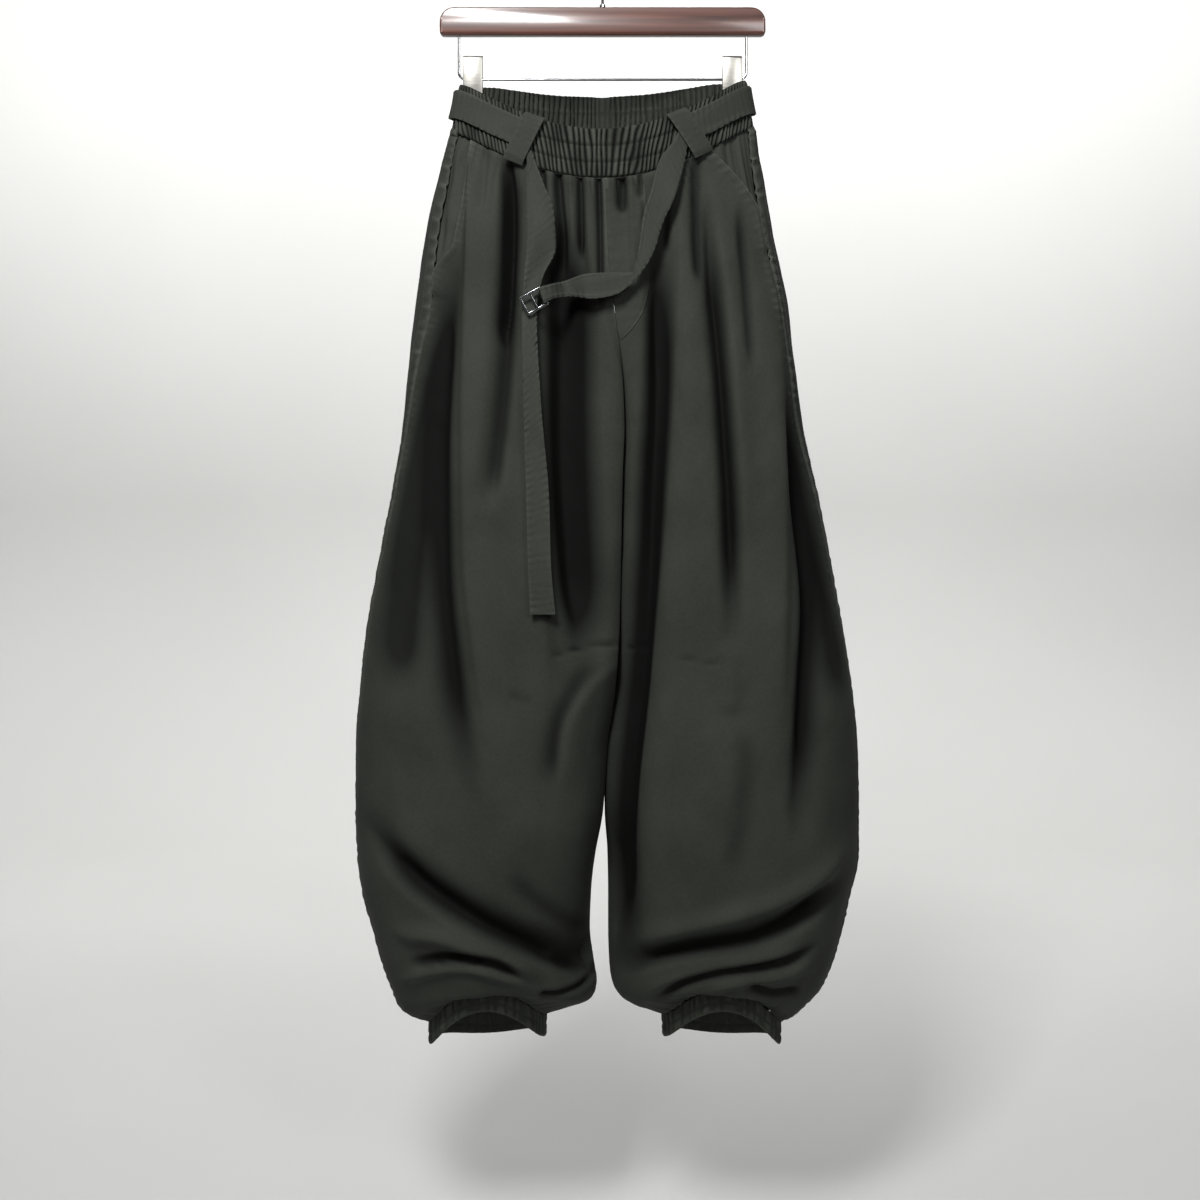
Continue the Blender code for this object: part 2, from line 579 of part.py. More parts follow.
def panel_net(side, face):
    """Section rows and the points of one leg panel's outer face, with the outward normals."""
    leg = LEG[side]
    columns, rows = PANEL_NET[face]
    row = section_rows(rows)
    seam_u = section("seam", row)
    if face == "front":
        start, end = np.maximum(section(f"mouth_{leg}", row), seam_u), np.ones_like(row)
    else:
        start, end = -np.ones_like(row), seam_u
    inset = SEAM_GAP / 2 / (math.pi / 2 * np.minimum(section("front", row), section("back", row)))
    free = 1 - section("hip", row)
    if face == "front":
        start, end = start + inset, end - inset * free
    else:
        start, end = start + inset * free, end - inset
    # The columns are closer at the inner edge, where a leg turns quickly.
    spread = 1 - (1 - np.linspace(0, 1, columns)) ** COLUMN_SPREAD
    spread = spread if face == "front" else 1 - spread[::-1]
    u = start[:, None] + (end - start)[:, None] * spread
    row = np.repeat(row[:, None], columns, 1)
    seam_x = section(f"inner_{leg}", row) + side * SEAM_GAP / 2
    return row, seam_x, cloth(side, u, row), outward(cloth, side, u, row)


def panel(name, side, face, collection):
    """One leg panel, from its waist seam to its cuff seam."""
    row, seam_x, outer, normal = panel_net(side, face)
    inner = outer - CLOTH * normal
    for net in (outer, inner):
        net[..., 0] = side * np.maximum(side * net[..., 0], side * seam_x)
        net[0, :, 2] -= WAIST_SEAM
    return wall(name, outer, inner, COTTON, collection)


def pocket_facing(name, side, collection):
    """The pocket's inside layer: seen in the mouth, and tucked under both panels beside it."""
    leg = LEG[side]
    end = 4.6 if side < 0 else 3.4
    row = section_rows(13, 0.05, end)
    seam_u = section("seam", row)
    start = seam_u - 0.025
    stop = np.maximum(section(f"mouth_{leg}", row), seam_u) + 0.08
    u = start[:, None] + (stop - start)[:, None] * np.linspace(0, 1, 6)
    row = np.repeat(row[:, None], 6, 1)
    outer = moved_out(side, u, row, -CLOTH - FACING_GAP)
    inner = moved_out(side, u, row, -2 * CLOTH - FACING_GAP)
    return wall(name, outer, inner, COTTON_TRIM, collection)


def fly(collection):
    """The flat fly layer beside the front seam: the left front panel's own points, moved out."""
    row, _, points, _ = panel_net(1, "front")
    rows = slice(int(np.searchsorted(row[:, 0], FLY_ROWS[0])), int(np.searchsorted(row[:, 0], FLY_ROWS[1])))
    points = points[rows, -FLY_COLUMNS:]
    inner = points - (0, 2 * SEAM_GAP, 0)
    outer = inner - (0, FLY_CLOTH, 0)
    return wall("fly", outer, inner, COTTON_TRIM, collection)


def waistband(collection):
    """The gathered band: the gathers stand out of its outer face, over a plain inside."""
    angle = even_angles(2 * GATHERS)
    crest = np.where(np.arange(len(angle)) % 2 == 0, GATHER_HEIGHT, 0.0)
    downs = (0.0, 0.12, 0.88, 1.0)
    rise = (0.4, 1.0, 1.0, 0.4)
    outer = np.stack([band_point(angle, down, crest * part) for down, part in zip(downs, rise)])
    inner = np.stack([band_point(angle, down, -BAND_CLOTH) for down in (0.0, 1.0)])
    return wall("waistband", outer, inner, COTTON, collection, closed=True)


def cuff(name, side, collection):
    """A gathered cuff that hangs from the leg's lower edge."""
    count = 2 * CUFF_GATHERS
    u = np.linspace(-1, 1, count, endpoint=False)
    ring = plain_cloth(side, u, np.full_like(u, LAST_SECTION))
    centre = ring.mean(0)
    spread = unit((ring - centre) * (1, 1, 0))
    crest = np.where(np.arange(count) % 2 == 0, 0.0012, -0.0012)
    levels = ((0.0, 0.4), (0.5, 1.0), (1.0, 0.5))
    top = ring - (0, 0, CUFF_SEAM)
    outer = np.stack([top + spread * (crest * rise)[:, None] - (0, 0, CUFF_HEIGHT * d) for d, rise in levels])
    inner = np.stack([top - spread * 0.0030 - (0, 0, CUFF_HEIGHT * d) for d in (0, 1)])
    return wall(name, outer, inner, COTTON, collection, closed=True)


def strip(name, left, right, thickness, finish, collection):
    """A flat strip between two edges, each a line of points, with its thickness across them."""
    middle = (left + right) / 2
    along = unit(np.gradient(middle, axis=0))
    face = unit(np.cross(along, right - left)) * thickness / 2
    outer = np.stack([left + face, middle + face, right + face])
    inner = np.stack([left - face, middle - face, right - face])
    return wall(name, outer, inner, finish, collection)


def forward_points():
    """Points of the front of the trousers and of the band, just outside the cloth."""
    row, u = np.meshgrid(np.linspace(0, 14, 140), np.linspace(0.1, 1, 60), indexing="ij")
    angle, down = np.meshgrid(np.linspace(0.2, math.pi - 0.2, 90), np.linspace(0, 1, 12), indexing="ij")
    nets = [moved_out(side, u, row, CLOTH) for side in (-1, 1)]
    nets.append(band_point(angle, down, GATHER_HEIGHT))
    return np.concatenate([net.reshape(-1, 3) for net in nets])


def in_front(cloth_points, x, z, clearance):
    """Points at x and z, each as far in front of the nearest cloth as its clearance."""
    reach = []
    for px, pz, off in zip(x, z, clearance):
        near = np.hypot(cloth_points[:, 0] - px, cloth_points[:, 2] - pz) < 0.011
        reach.append(cloth_points[near, 1].min() - off)
    return np.stack([x, reach, z], -1)


def smooth_line(points, count):
    points = np.asarray(points, float)
    length = np.concatenate([[0], np.cumsum(np.linalg.norm(np.diff(points, axis=0), axis=1))])
    at = np.linspace(0, length[-1], count)
    return np.stack([through(length, points[:, i], at) for i in range(3)], -1)


def belt(collection):
    """The belt, as one strap: free end, right loop, round the back, left loop, buckle end."""
    cloth_points = forward_points()
    z, left_x, right_x, off = np.array(RIGHT_TAIL).T
    tail_left = in_front(cloth_points, left_x, z, off)
    tail_right = in_front(cloth_points, right_x, z, off)
    angles = np.linspace(math.pi * (1 - 0.5 * BELT_TURN), math.pi * (2 + 0.5 * BELT_TURN), 60)
    from_clip = np.abs(band_point(angles, 0.0, 0.0)[:, 0]) - CLIP_X
    over_clip = np.exp(-((from_clip / 0.020) ** 4))
    over_clip = over_clip * (np.sin(angles) < 0)
    out = GATHER_HEIGHT + 3 * SEAM_GAP + BELT_CLOTH / 2 + BELT_OVER_CLIP * over_clip
    lower = band_point(angles, BELT_DOWN + BELT_WIDTH / BAND_HEIGHT, out)
    upper = band_point(angles, BELT_DOWN, out)
    upper_x, upper_z, lower_x, lower_z, off = np.array(LEFT_TAIL).T
    end_upper = in_front(cloth_points, upper_x, upper_z, off)
    end_lower = in_front(cloth_points, lower_x, lower_z, off)
    left = joined((tail_left, 26), (lower, 0), (end_lower, 18))
    right = joined((tail_right, 26), (upper, 0), (end_upper, 18))
    return strip("belt", left, right, BELT_CLOTH, COTTON_TRIM, collection)


def joined(start, middle, end):
    """One edge of the belt: the free end, the stretch on the band and the buckle end."""
    (start, start_count), (middle, _), (end, end_count) = start, middle, end
    first = smooth_line(np.concatenate([start, middle[:1]]), start_count)
    last = smooth_line(np.concatenate([middle[-1:], end]), end_count)
    return np.concatenate([first[:-1], middle, last[1:]])


def belt_loop(name, side, u, lean, collection):
    """A loop that stands over the belt, its ends turned in to the band's edges."""
    angle = math.pi / 2 * (1 - side * (1 - abs(u)))
    angle = angle if u > 0 else -angle
    across = np.linspace(angle - LOOP_HALF_TURN, angle + LOOP_HALF_TURN, 5)
    outer, inner = [], []
    for down, out in LOOP_PROFILE:
        shifted = across + side * lean * (0.5 - down)
        outer.append(band_point(shifted, down, out + BELT_CLOTH))
        inner.append(band_point(shifted, down, out))
    return wall(name, np.stack(outer), np.stack(inner), COTTON_TRIM, collection)


def buckle(collection):
    """A rectangular slider: a flat frame with a window, turned as it hangs."""
    curve = bpy.data.curves.new("buckle", "CURVE")
    curve.dimensions = "2D"
    curve.fill_mode = "BOTH"
    width, thickness, height = BUCKLE_SIZE
    for inset in (0, BUCKLE_RAIL):
        spline = curve.splines.new("POLY")
        spline.points.add(3)
        spline.use_cyclic_u = True
        half_w, half_h = width / 2 - inset, height / 2 - inset
        corners = ((-half_w, -half_h), (half_w, -half_h), (half_w, half_h), (-half_w, half_h))
        for point, (x, y) in zip(spline.points, corners):
            point.co = (x, y, 0, 1)
    curve.extrude = thickness / 2
    made = bpy.data.objects.new("buckle", curve)
    curve.materials.append(material("buckle", CHROME))
    x, z = BUCKLE_CENTRE
    made.location = in_front(forward_points(), [x], [z], [BUCKLE_CLEARANCE])[0]
    made.rotation_euler = (math.pi / 2, BUCKLE_TURN, 0)
    collection.objects.link(made)
    return made


def wire(name, points, diameter, finish, collection):
    curve = bpy.data.curves.new(name, "CURVE")
    curve.dimensions = "3D"
    spline = curve.splines.new("POLY")
    spline.points.add(len(points) - 1)
    for point, place in zip(spline.points, points):
        point.co = (*place, 1)
    curve.bevel_depth = diameter / 2
    curve.bevel_resolution = 2
    curve.use_fill_caps = True
    curve.materials.append(material(name, finish))
    made = bpy.data.objects.new(name, curve)
    collection.objects.link(made)
    return made


def rounded_plate(name, width, height, thickness, radii, centre, finish, collection):
    """A flat plate with rounded corners, given as its upper and lower radius."""
    upper, lower = radii
    outline = []
    for x_sign, z_sign, radius, start in (
        (1, 1, upper, 0), (-1, 1, upper, 90), (-1, -1, lower, 180), (1, -1, lower, 270),
    ):
        cx, cz = x_sign * (width / 2 - radius), z_sign * (height / 2 - radius)
        for step in range(5):
            turn = math.radians(start + step * 22.5)
            outline.append((cx + radius * math.cos(turn), cz + radius * math.sin(turn)))
    curve = bpy.data.curves.new(name, "CURVE")
    curve.dimensions = "2D"
    curve.fill_mode = "BOTH"
    spline = curve.splines.new("POLY")
    spline.points.add(len(outline) - 1)
    spline.use_cyclic_u = True
    for point, (x, z) in zip(spline.points, outline):
        point.co = (x, z, 0, 1)
    curve.extrude = thickness / 2
    curve.materials.append(material(name, finish))
    made = bpy.data.objects.new(name, curve)
    made.location = centre
    made.rotation_euler = (math.pi / 2, 0, 0)
    collection.objects.link(made)
    return made


def hanger(collection):
    """The wooden bar, the hook above it and the wire that carries the two clips."""
    width, depth, height = BAR_SIZE
    middle = (0, 0, BAR_TOP - height / 2)
    rounded_plate("hanger_bar", width, height, depth, (0.015, 0.006), middle, MAHOGANY, collection)
    radius = HOOK_RADIUS + WIRE / 2
    bend = [
        (radius * math.cos(math.radians(a)), 0, -HOOK_RADIUS + radius * math.sin(math.radians(a)))
        for a in range(-50, 216, 15)
    ]
    stem = [(0, 0, BAR_TOP + SEAM_GAP), (0, 0, -0.058), (0.0015, 0, -0.050), (0.006, 0, -0.0425)]
    wire("hanger_hook", stem + bend, WIRE, BLACK_STEEL, collection)
    under = BAR_TOP - height - SEAM_GAP
    drop, half = -0.1522, 0.1608
    run = [(-half, 0, under), (-half, 0, drop + 0.008)]
    run += [(-half + 0.002, 0, drop + 0.003), (-half + 0.006, 0, drop)]
    wire("hanger_wire", run + [(-x, y, z) for x, y, z in reversed(run)], WIRE, CHROME, collection)


def clip(name, side, collection):
    """A folded plate over the wire that grips the band's back layer between its two jaws."""
    width, depth, height = CLIP_SIZE
    half, plate = depth / 2, CLIP_PLATE
    top = -0.1255
    centre = side * CLIP_X
    profile = (
        (-half, top - height), (-half, top - 0.002), (-half + 0.0015, top), (half - 0.0015, top),
        (half, top - 0.002), (half, top - height), (half - plate, top - height),
        (half - plate, top - 0.003), (-half + plate, top - 0.003), (-half + plate, top - height),
    )
    curve = bpy.data.curves.new(name, "CURVE")
    curve.dimensions = "2D"
    curve.fill_mode = "BOTH"
    spline = curve.splines.new("POLY")
    spline.points.add(len(profile) - 1)
    spline.use_cyclic_u = True
    for point, (y, z) in zip(spline.points, profile):
        point.co = (y, z, 0, 1)
    curve.extrude = width / 2
    curve.materials.append(material(name, SATIN_NICKEL))
    made = bpy.data.objects.new(name, curve)
    made.location = (centre, 0, 0)
    made.rotation_euler = (math.pi / 2, 0, math.pi / 2)
    collection.objects.link(made)
    return made


def main():
    for left_over in list(bpy.data.objects):
        bpy.data.objects.remove(left_over, do_unlink=True)
    trousers = bpy.data.collections.new("wide_leg_trousers")
    bpy.context.scene.collection.children.link(trousers)
    for side, leg in ((-1, "right"), (1, "left")):
        panel(f"front_panel_{leg}", side, "front", trousers)
        panel(f"back_panel_{leg}", side, "back", trousers)
        pocket_facing(f"pocket_facing_{leg}", side, trousers)
        cuff(f"cuff_{leg}", side, trousers)
        clip(f"clip_{leg}", side, trousers)
    fly(trousers)
    waistband(trousers)
    belt(trousers)
    for place, (side, u, lean) in LOOPS.items():
        belt_loop(f"belt_loop_{place}", side, u, lean, trousers)
    buckle(trousers)
    hanger(trousers)


main()
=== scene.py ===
# %% [markdown]
# # Wide-leg trousers on a clip hanger
#
# The real object is a pair of washed cotton trousers: four leg panels, a gathered waistband,
# gathered cuffs, a belt with a slider buckle, and the wooden clip hanger that holds them by the
# back of the waist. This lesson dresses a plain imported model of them, which is loaded first as a
# fixed frame, so every new piece is placed by the same measures as the frame and needs no fitting.

# %% Load the frame
import math

import bmesh
import bpy
import numpy as np
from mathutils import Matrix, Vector


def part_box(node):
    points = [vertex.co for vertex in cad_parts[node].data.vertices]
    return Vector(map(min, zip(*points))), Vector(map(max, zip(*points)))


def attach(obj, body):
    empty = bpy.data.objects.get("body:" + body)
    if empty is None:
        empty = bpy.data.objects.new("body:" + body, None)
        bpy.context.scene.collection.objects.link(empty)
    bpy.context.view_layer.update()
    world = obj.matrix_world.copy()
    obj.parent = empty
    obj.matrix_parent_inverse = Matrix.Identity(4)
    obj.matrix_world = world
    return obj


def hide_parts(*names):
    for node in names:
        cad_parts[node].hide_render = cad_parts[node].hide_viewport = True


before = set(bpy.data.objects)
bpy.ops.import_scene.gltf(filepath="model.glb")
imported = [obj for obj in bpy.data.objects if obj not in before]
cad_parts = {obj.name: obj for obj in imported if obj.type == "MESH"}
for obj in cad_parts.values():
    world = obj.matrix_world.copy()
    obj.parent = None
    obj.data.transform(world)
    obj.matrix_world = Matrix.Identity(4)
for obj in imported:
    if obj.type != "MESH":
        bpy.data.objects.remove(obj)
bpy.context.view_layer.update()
bpy.ops.object.select_all(action="DESELECT")

# %% [markdown]
# ## The camera
#
# The trousers were seen from straight in front, from 1.8 m, with the lens level with the lower
# hips. A long standing subject could be framed by tilting the camera, but that makes the legs
# converge. A level camera with a small vertical shift keeps them upright, so that is used.

# %% Camera
CAMERA_PLACE = (-0.0029, -1.78, -0.6065)
LENS = 47.7  # mm, on a 36 mm wide sensor
SHIFT = -0.0954  # part of the picture's width


def add_camera():
    camera = bpy.data.cameras.new("camera")
    camera.lens = LENS
    camera.sensor_width = 36
    camera.shift_y = SHIFT
    holder = bpy.data.objects.new("camera", camera)
    holder.location = CAMERA_PLACE
    holder.rotation_euler = (math.radians(90), 0, 0)
    bpy.context.scene.collection.objects.link(holder)
    bpy.context.scene.camera = holder


add_camera()
bpy.context.scene.view_settings.view_transform = "Standard"

# %% [markdown]
# ## Colours and nodes
#
# Colours are picked as sRGB hex values, but a shader works in linear light, so one function
# turns one into the other. A second one adds a node, sets what it is given and joins its inputs,
# which keeps each material short enough to read as a recipe.

# %% Two helpers for materials
def colour(code):
    """An sRGB hex value as linear red, green, blue and alpha."""
    parts = [int(code[i : i + 2], 16) / 255 for i in (1, 3, 5)]
    return (*[c / 12.92 if c <= 0.04045 else ((c + 0.055) / 1.055) ** 2.4 for c in parts], 1.0)


def add_node(tree, kind, settings=(), links=()):
    """Adds one node. A setting is a property of the node or else the value of an input."""
    node = tree.nodes.new("ShaderNode" + kind)
    for name, value in dict(settings).items():
        if hasattr(node, str(name)):
            setattr(node, name, value)
        else:
            node.inputs[name].default_value = value
    for name, source in dict(links).items():
        tree.links.new(source, node.inputs[name])
    return node


def new_material(name, shader_values):
    made = bpy.data.materials.new(name)
    made.use_nodes = True
    shader = made.node_tree.nodes["Principled BSDF"]
    for socket, value in shader_values.items():
        shader.inputs[socket].default_value = value
    return made, made.node_tree, shader


# %% [markdown]
# ## The cloth
#
# The cloth is cotton twill, garment-dyed a dark green-grey and washed. Washing does three things
# that the eye reads: the faint diagonal rib of the weave shows, the dye comes out a little cloudy,
# and every raised edge along a seam rubs paler. The rib and the clouds are drawn in the piece's own
# UV map, which is in metres along and across the cloth, so they follow each panel. Two attributes
# come with each cloth piece: wear marks the rubbed places, and on the waistband it also paints the
# crests of the gathers paler as highlight; fold marks the bottoms of deep folds, which are painted
# near black as shade. The real rib is 0.7 mm apart, which is under a pixel here, so it is drawn at
# 1.4 mm and faintly.

# %% Cotton twill
RIB_SPACING = 0.0014
RIB_ANGLE = math.radians(27)  # from the warp
WAVE_BANDS = 20  # Blender's wave texture repeats this often in 2 pi at scale 1
CLOUD_SCALE = 11.0  # dye clouds about 90 mm across
SPECK_SCALE = 260.0  # slubs and lint, about 4 mm apart


def twill(name, base, worn, rib=0.10, sheen=0.01, painted_fold_shade=colour("#0b0c0b")):
    """Woven, dyed and washed cotton: matt, with a little fuzz that catches light from the side."""
    made, tree, shader = new_material(
        name,
        {"Roughness": 0.72, "Sheen Weight": sheen, "Sheen Roughness": 0.5, "Specular IOR Level": 0.05},
    )
    shader.inputs["Sheen Tint"].default_value = colour("#8b9088")
    cloth_uv = add_node(tree, "UVMap").outputs["UV"]
    cloudy = add_node(tree, "TexNoise", {"Scale": CLOUD_SCALE, "Detail": 5.0}, {"Vector": cloth_uv})
    specks = add_node(tree, "TexNoise", {"Scale": SPECK_SCALE, "Detail": 3.0}, {"Vector": cloth_uv})
    wear = add_node(tree, "Attribute", {"attribute_name": "wear"})
    stain = add_node(
        tree, "Math", {"operation": "MULTIPLY_ADD", 1: 0.45},
        {0: specks.outputs["Fac"], 2: cloudy.outputs["Fac"]},
    )
    spread = add_node(
        tree, "MapRange", {"From Min": 0.50, "From Max": 1.0, "To Min": 0.0, "To Max": 0.20},
        {"Value": stain.outputs[0]},
    )
    rubbed = add_node(
        tree, "Math", {"operation": "MULTIPLY_ADD", 1: 0.75, "use_clamp": True},
        {0: wear.outputs["Fac"], 2: spread.outputs[0]},
    )
    dyed = add_node(
        tree, "Mix", {"data_type": "RGBA", 6: colour(base), 7: colour(worn)}, {0: rubbed.outputs[0]}
    )
    # Painted shade: the fold attribute mixes the colour towards near black at the bottoms of deep folds.
    fold = add_node(tree, "Attribute", {"attribute_name": "fold"})
    shown = add_node(
        tree, "Mix", {"data_type": "RGBA", 7: painted_fold_shade}, {0: fold.outputs["Fac"], 6: dyed.outputs[2]}
    )
    tree.links.new(shown.outputs[2], shader.inputs["Base Color"])
    turned = add_node(tree, "Mapping", {"Rotation": (0, 0, RIB_ANGLE)}, {"Vector": cloth_uv})
    ribs = add_node(
        tree, "TexWave",
        {"Scale": math.tau / (WAVE_BANDS * RIB_SPACING), "Distortion": 0.6, "Detail": 1.0},
        {"Vector": turned.outputs[0]},
    )
    weave = add_node(
        tree, "Math", {"operation": "MULTIPLY_ADD", 1: 0.4},
        {0: ribs.outputs["Fac"], 2: specks.outputs["Fac"]},
    )
    bump = add_node(
        tree, "Bump", {"Strength": rib, "Distance": 0.0006}, {"Height": weave.outputs[0]}
    )
    tree.links.new(bump.outputs[0], shader.inputs["Normal"])
    return made


PANEL_TWILL = twill("washed cotton twill", "#2f312d", "#565852")
TRIM_TWILL = twill("folded cotton twill", "#30322e", "#5f615a", rib=0.05)
BAND_TWILL = twill("gathered cotton twill", "#2c2e2a", "#595b54", rib=0.08)
print("cloth materials:", [m.name for m in (PANEL_TWILL, TRIM_TWILL, BAND_TWILL)])

# %% [markdown]
# ## The shape of the trousers
#
# The trousers could be sculpted, or a tube could be left to fall in a cloth simulation. Neither
# would repeat the folds that this pair hangs in. Instead each half is a surface worked out from
# level sections, as a pattern cutter grades a block: u goes round from the centre back (-1) by the
# side (0) to the centre front (1), and row goes down the sections. The tables and functions here
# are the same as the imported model's, so the dressed cloth lies on its solids.

# %% Reading tables of numbers
def read_table(text, in_a_metre=1):
    """The columns of a table by their names; in_a_metre is how many of its units make a metre."""
    names, *rows = (line.split() for line in text.strip().splitlines())
    return dict(zip(names, np.array(rows, float).T / in_a_metre))


def fold_table(text):
    """Folds, one to a line: leg, face, height, minus, plus and the line's points, in millimetres."""
    table = []
    for leg, face, *numbers in (line.replace(",", "").split() for line in text.strip().splitlines()):
        tall, minus, plus, *line = (float(number) / 1000 for number in numbers)
        table.append((leg, face, tall, minus, plus, list(zip(line[::2], line[1::2]))))
    return table


# %% Measures shared with the frame, in metres
CLOTH = 0.0015
SEAM_GAP = 0.0003
WAIST_SEAM = 0.0009
WAIST_HALF = 0.159
BAND_HEIGHT = 0.053
BAND_FLARE = 0.010
BAND_BULGE = 0.002
WAIST_SIDE_Z = -0.1575
FRONT_SAG = 0.0625
BACK_SAG = 0.007
TILT = 0.0145
GATHERS = 124
GATHER_HEIGHT = 0.0018
BAND_CLOTH = 0.0013
OUTER_CORNER = 0.92

# The waist seen from above, for the wearer's left half: u runs from the centre back (-1) through
# the side (0) to the centre front (1). The back lies flat where the clip grips it.
WAIST = read_table("""
    u       x        y
   -1       0    0.032
 -0.8  0.0491    0.026
 -0.6  0.0935    0.011
-0.42  0.1255   0.0001
 -0.3  0.1415        0
-0.18  0.1525        0
-0.08  0.1578  -0.0018
    0   0.159   -0.006
  0.1  0.1575  -0.0115
  0.2  0.1512  -0.0175
  0.4  0.1286  -0.0305
  0.6  0.0935   -0.044
  0.8  0.0491   -0.055
    1       0   -0.059
""")

# Level sections of the trousers in mm, from the band's lower edge to the cuffs: the heights at the side
# and at the centre or inseam, the sides and inner edges of the right (r) and left (l) leg, and the
# depths in front of and behind the plane of the hanger.
SECTIONS = read_table("""
side_z  inner_z  side_r  side_l  inner_r  inner_l  front  back
-210.5   -210.5    -169     169      2.5      2.5     60    40
  -240     -240  -178.5   174.5      3.5      3.5     64    50
  -285     -285  -189.5   183.5        5        5     70    62
  -330     -330  -198.5   191.5        7        7     74    70
  -370     -370  -204.5     200     10.5     10.5     77    75
  -410     -410  -209.5     208       15       15     80    78
  -450     -450  -214.5     212     19.5     19.5     83    81
  -500     -500    -219   218.5     22.5     22.5     86    84
  -530     -530  -221.2   222.5     23.5     23.5     88    86
  -545     -545  -222.5     225     23.8     23.8     89    87
  -600     -600    -231   237.5     21.7     21.7     92    89
  -690     -690  -248.2   253.6     20.2     20.2     97    91
  -757     -757  -260.5   265.5     18.7     18.7    101    93
  -824     -824  -268.4     276     14.3     14.3    104    95
  -892     -892  -273.4   282.5      5.5      5.5    106    96
  -959     -959    -274     284        1        2    106    96
 -1015    -1015  -272.2   283.8       -8      5.2    105    95
 -1060    -1060    -266   274.5    -12.7        6    103    94
 -1100    -1100  -254.5   265.5    -14.1        6    100    92
 -1138    -1138    -244   254.7     -9.6      7.2     96    90
 -1164    -1160  -234.5     243     -6.3     10.5     92    86
 -1185    -1176    -226     224      -11       20     87    80
 -1197    -1188    -211     211      -40       45     78    74
 -1203    -1195  -193.5   198.5      -63       67     69    70
""", 1000)
LAST_SECTION = len(SECTIONS["front"]) - 1
LEG = {-1: "r", 1: "l"}
WHERE = {-1: "right", 1: "left"}

# How a section is bent, by its number in the table above. waist is how far it keeps the waist's
# plan, oval how far it is one oval round both hips, and hip how full it is between the legs, down
# to the crotch; corner squares a leg's inner half, where the two legs lie side by side; sag and
# lift bend it down at the centre and up in mid-leg; seam and mouth are the places, as u, of the
# side seam and of the front panel's edge at the pocket.
DRAPE = read_table("""
number  waist  oval   hip  corner  front_sag  front_lift  back_lift  seam  mouth_r  mouth_l
     0      1     1     1     0.4     0.0625           0          0   0.2    0.345     0.52
     1   0.75     1     1     0.4       0.06           0          0  0.23    0.365    0.425
     2    0.4     1     1     0.4      0.052           0          0  0.25    0.388     0.29
     3   0.15  0.92     1    0.36      0.043           0          0  0.25    0.365      0.2
     4      0  0.75  0.98    0.32      0.033           0          0  0.24     0.24     0.18
     5      0   0.5   0.8    0.28      0.024           0          0  0.22      0.2     0.15
     6      0  0.25  0.56    0.25      0.015           0          0  0.18     0.17     0.13
     7      0  0.05  0.26    0.24      0.005           0          0  0.14     0.14     0.11
     8      0     0  0.08    0.24      0.001           0          0  0.12     0.12      0.1
     9      0     0     0    0.24          0           0          0  0.11     0.11    0.095
    10      0     0     0    0.28          0           0          0   0.1      0.1     0.09
    11      0     0     0    0.38          0           0          0  0.08     0.08     0.08
    13      0     0     0    0.58          0           0          0  0.07     0.07     0.07
    16      0     0     0    0.84          0           0          0  0.06     0.06     0.06
    17      0     0     0    0.93          0       0.001          0  0.06     0.06     0.06
    18      0     0     0       1          0       0.005     -0.001  0.05     0.05     0.05
    19      0     0     0       1          0       0.013     -0.005  0.05     0.05     0.05
    20      0     0     0       1          0       0.022      -0.01  0.05     0.05     0.05
    21      0     0     0       1          0       0.031     -0.014  0.05     0.05     0.05
    22      0     0     0       1          0       0.042     -0.016  0.05     0.05     0.05
    23      0     0     0       1          0       0.051     -0.018  0.05     0.05     0.05
""")

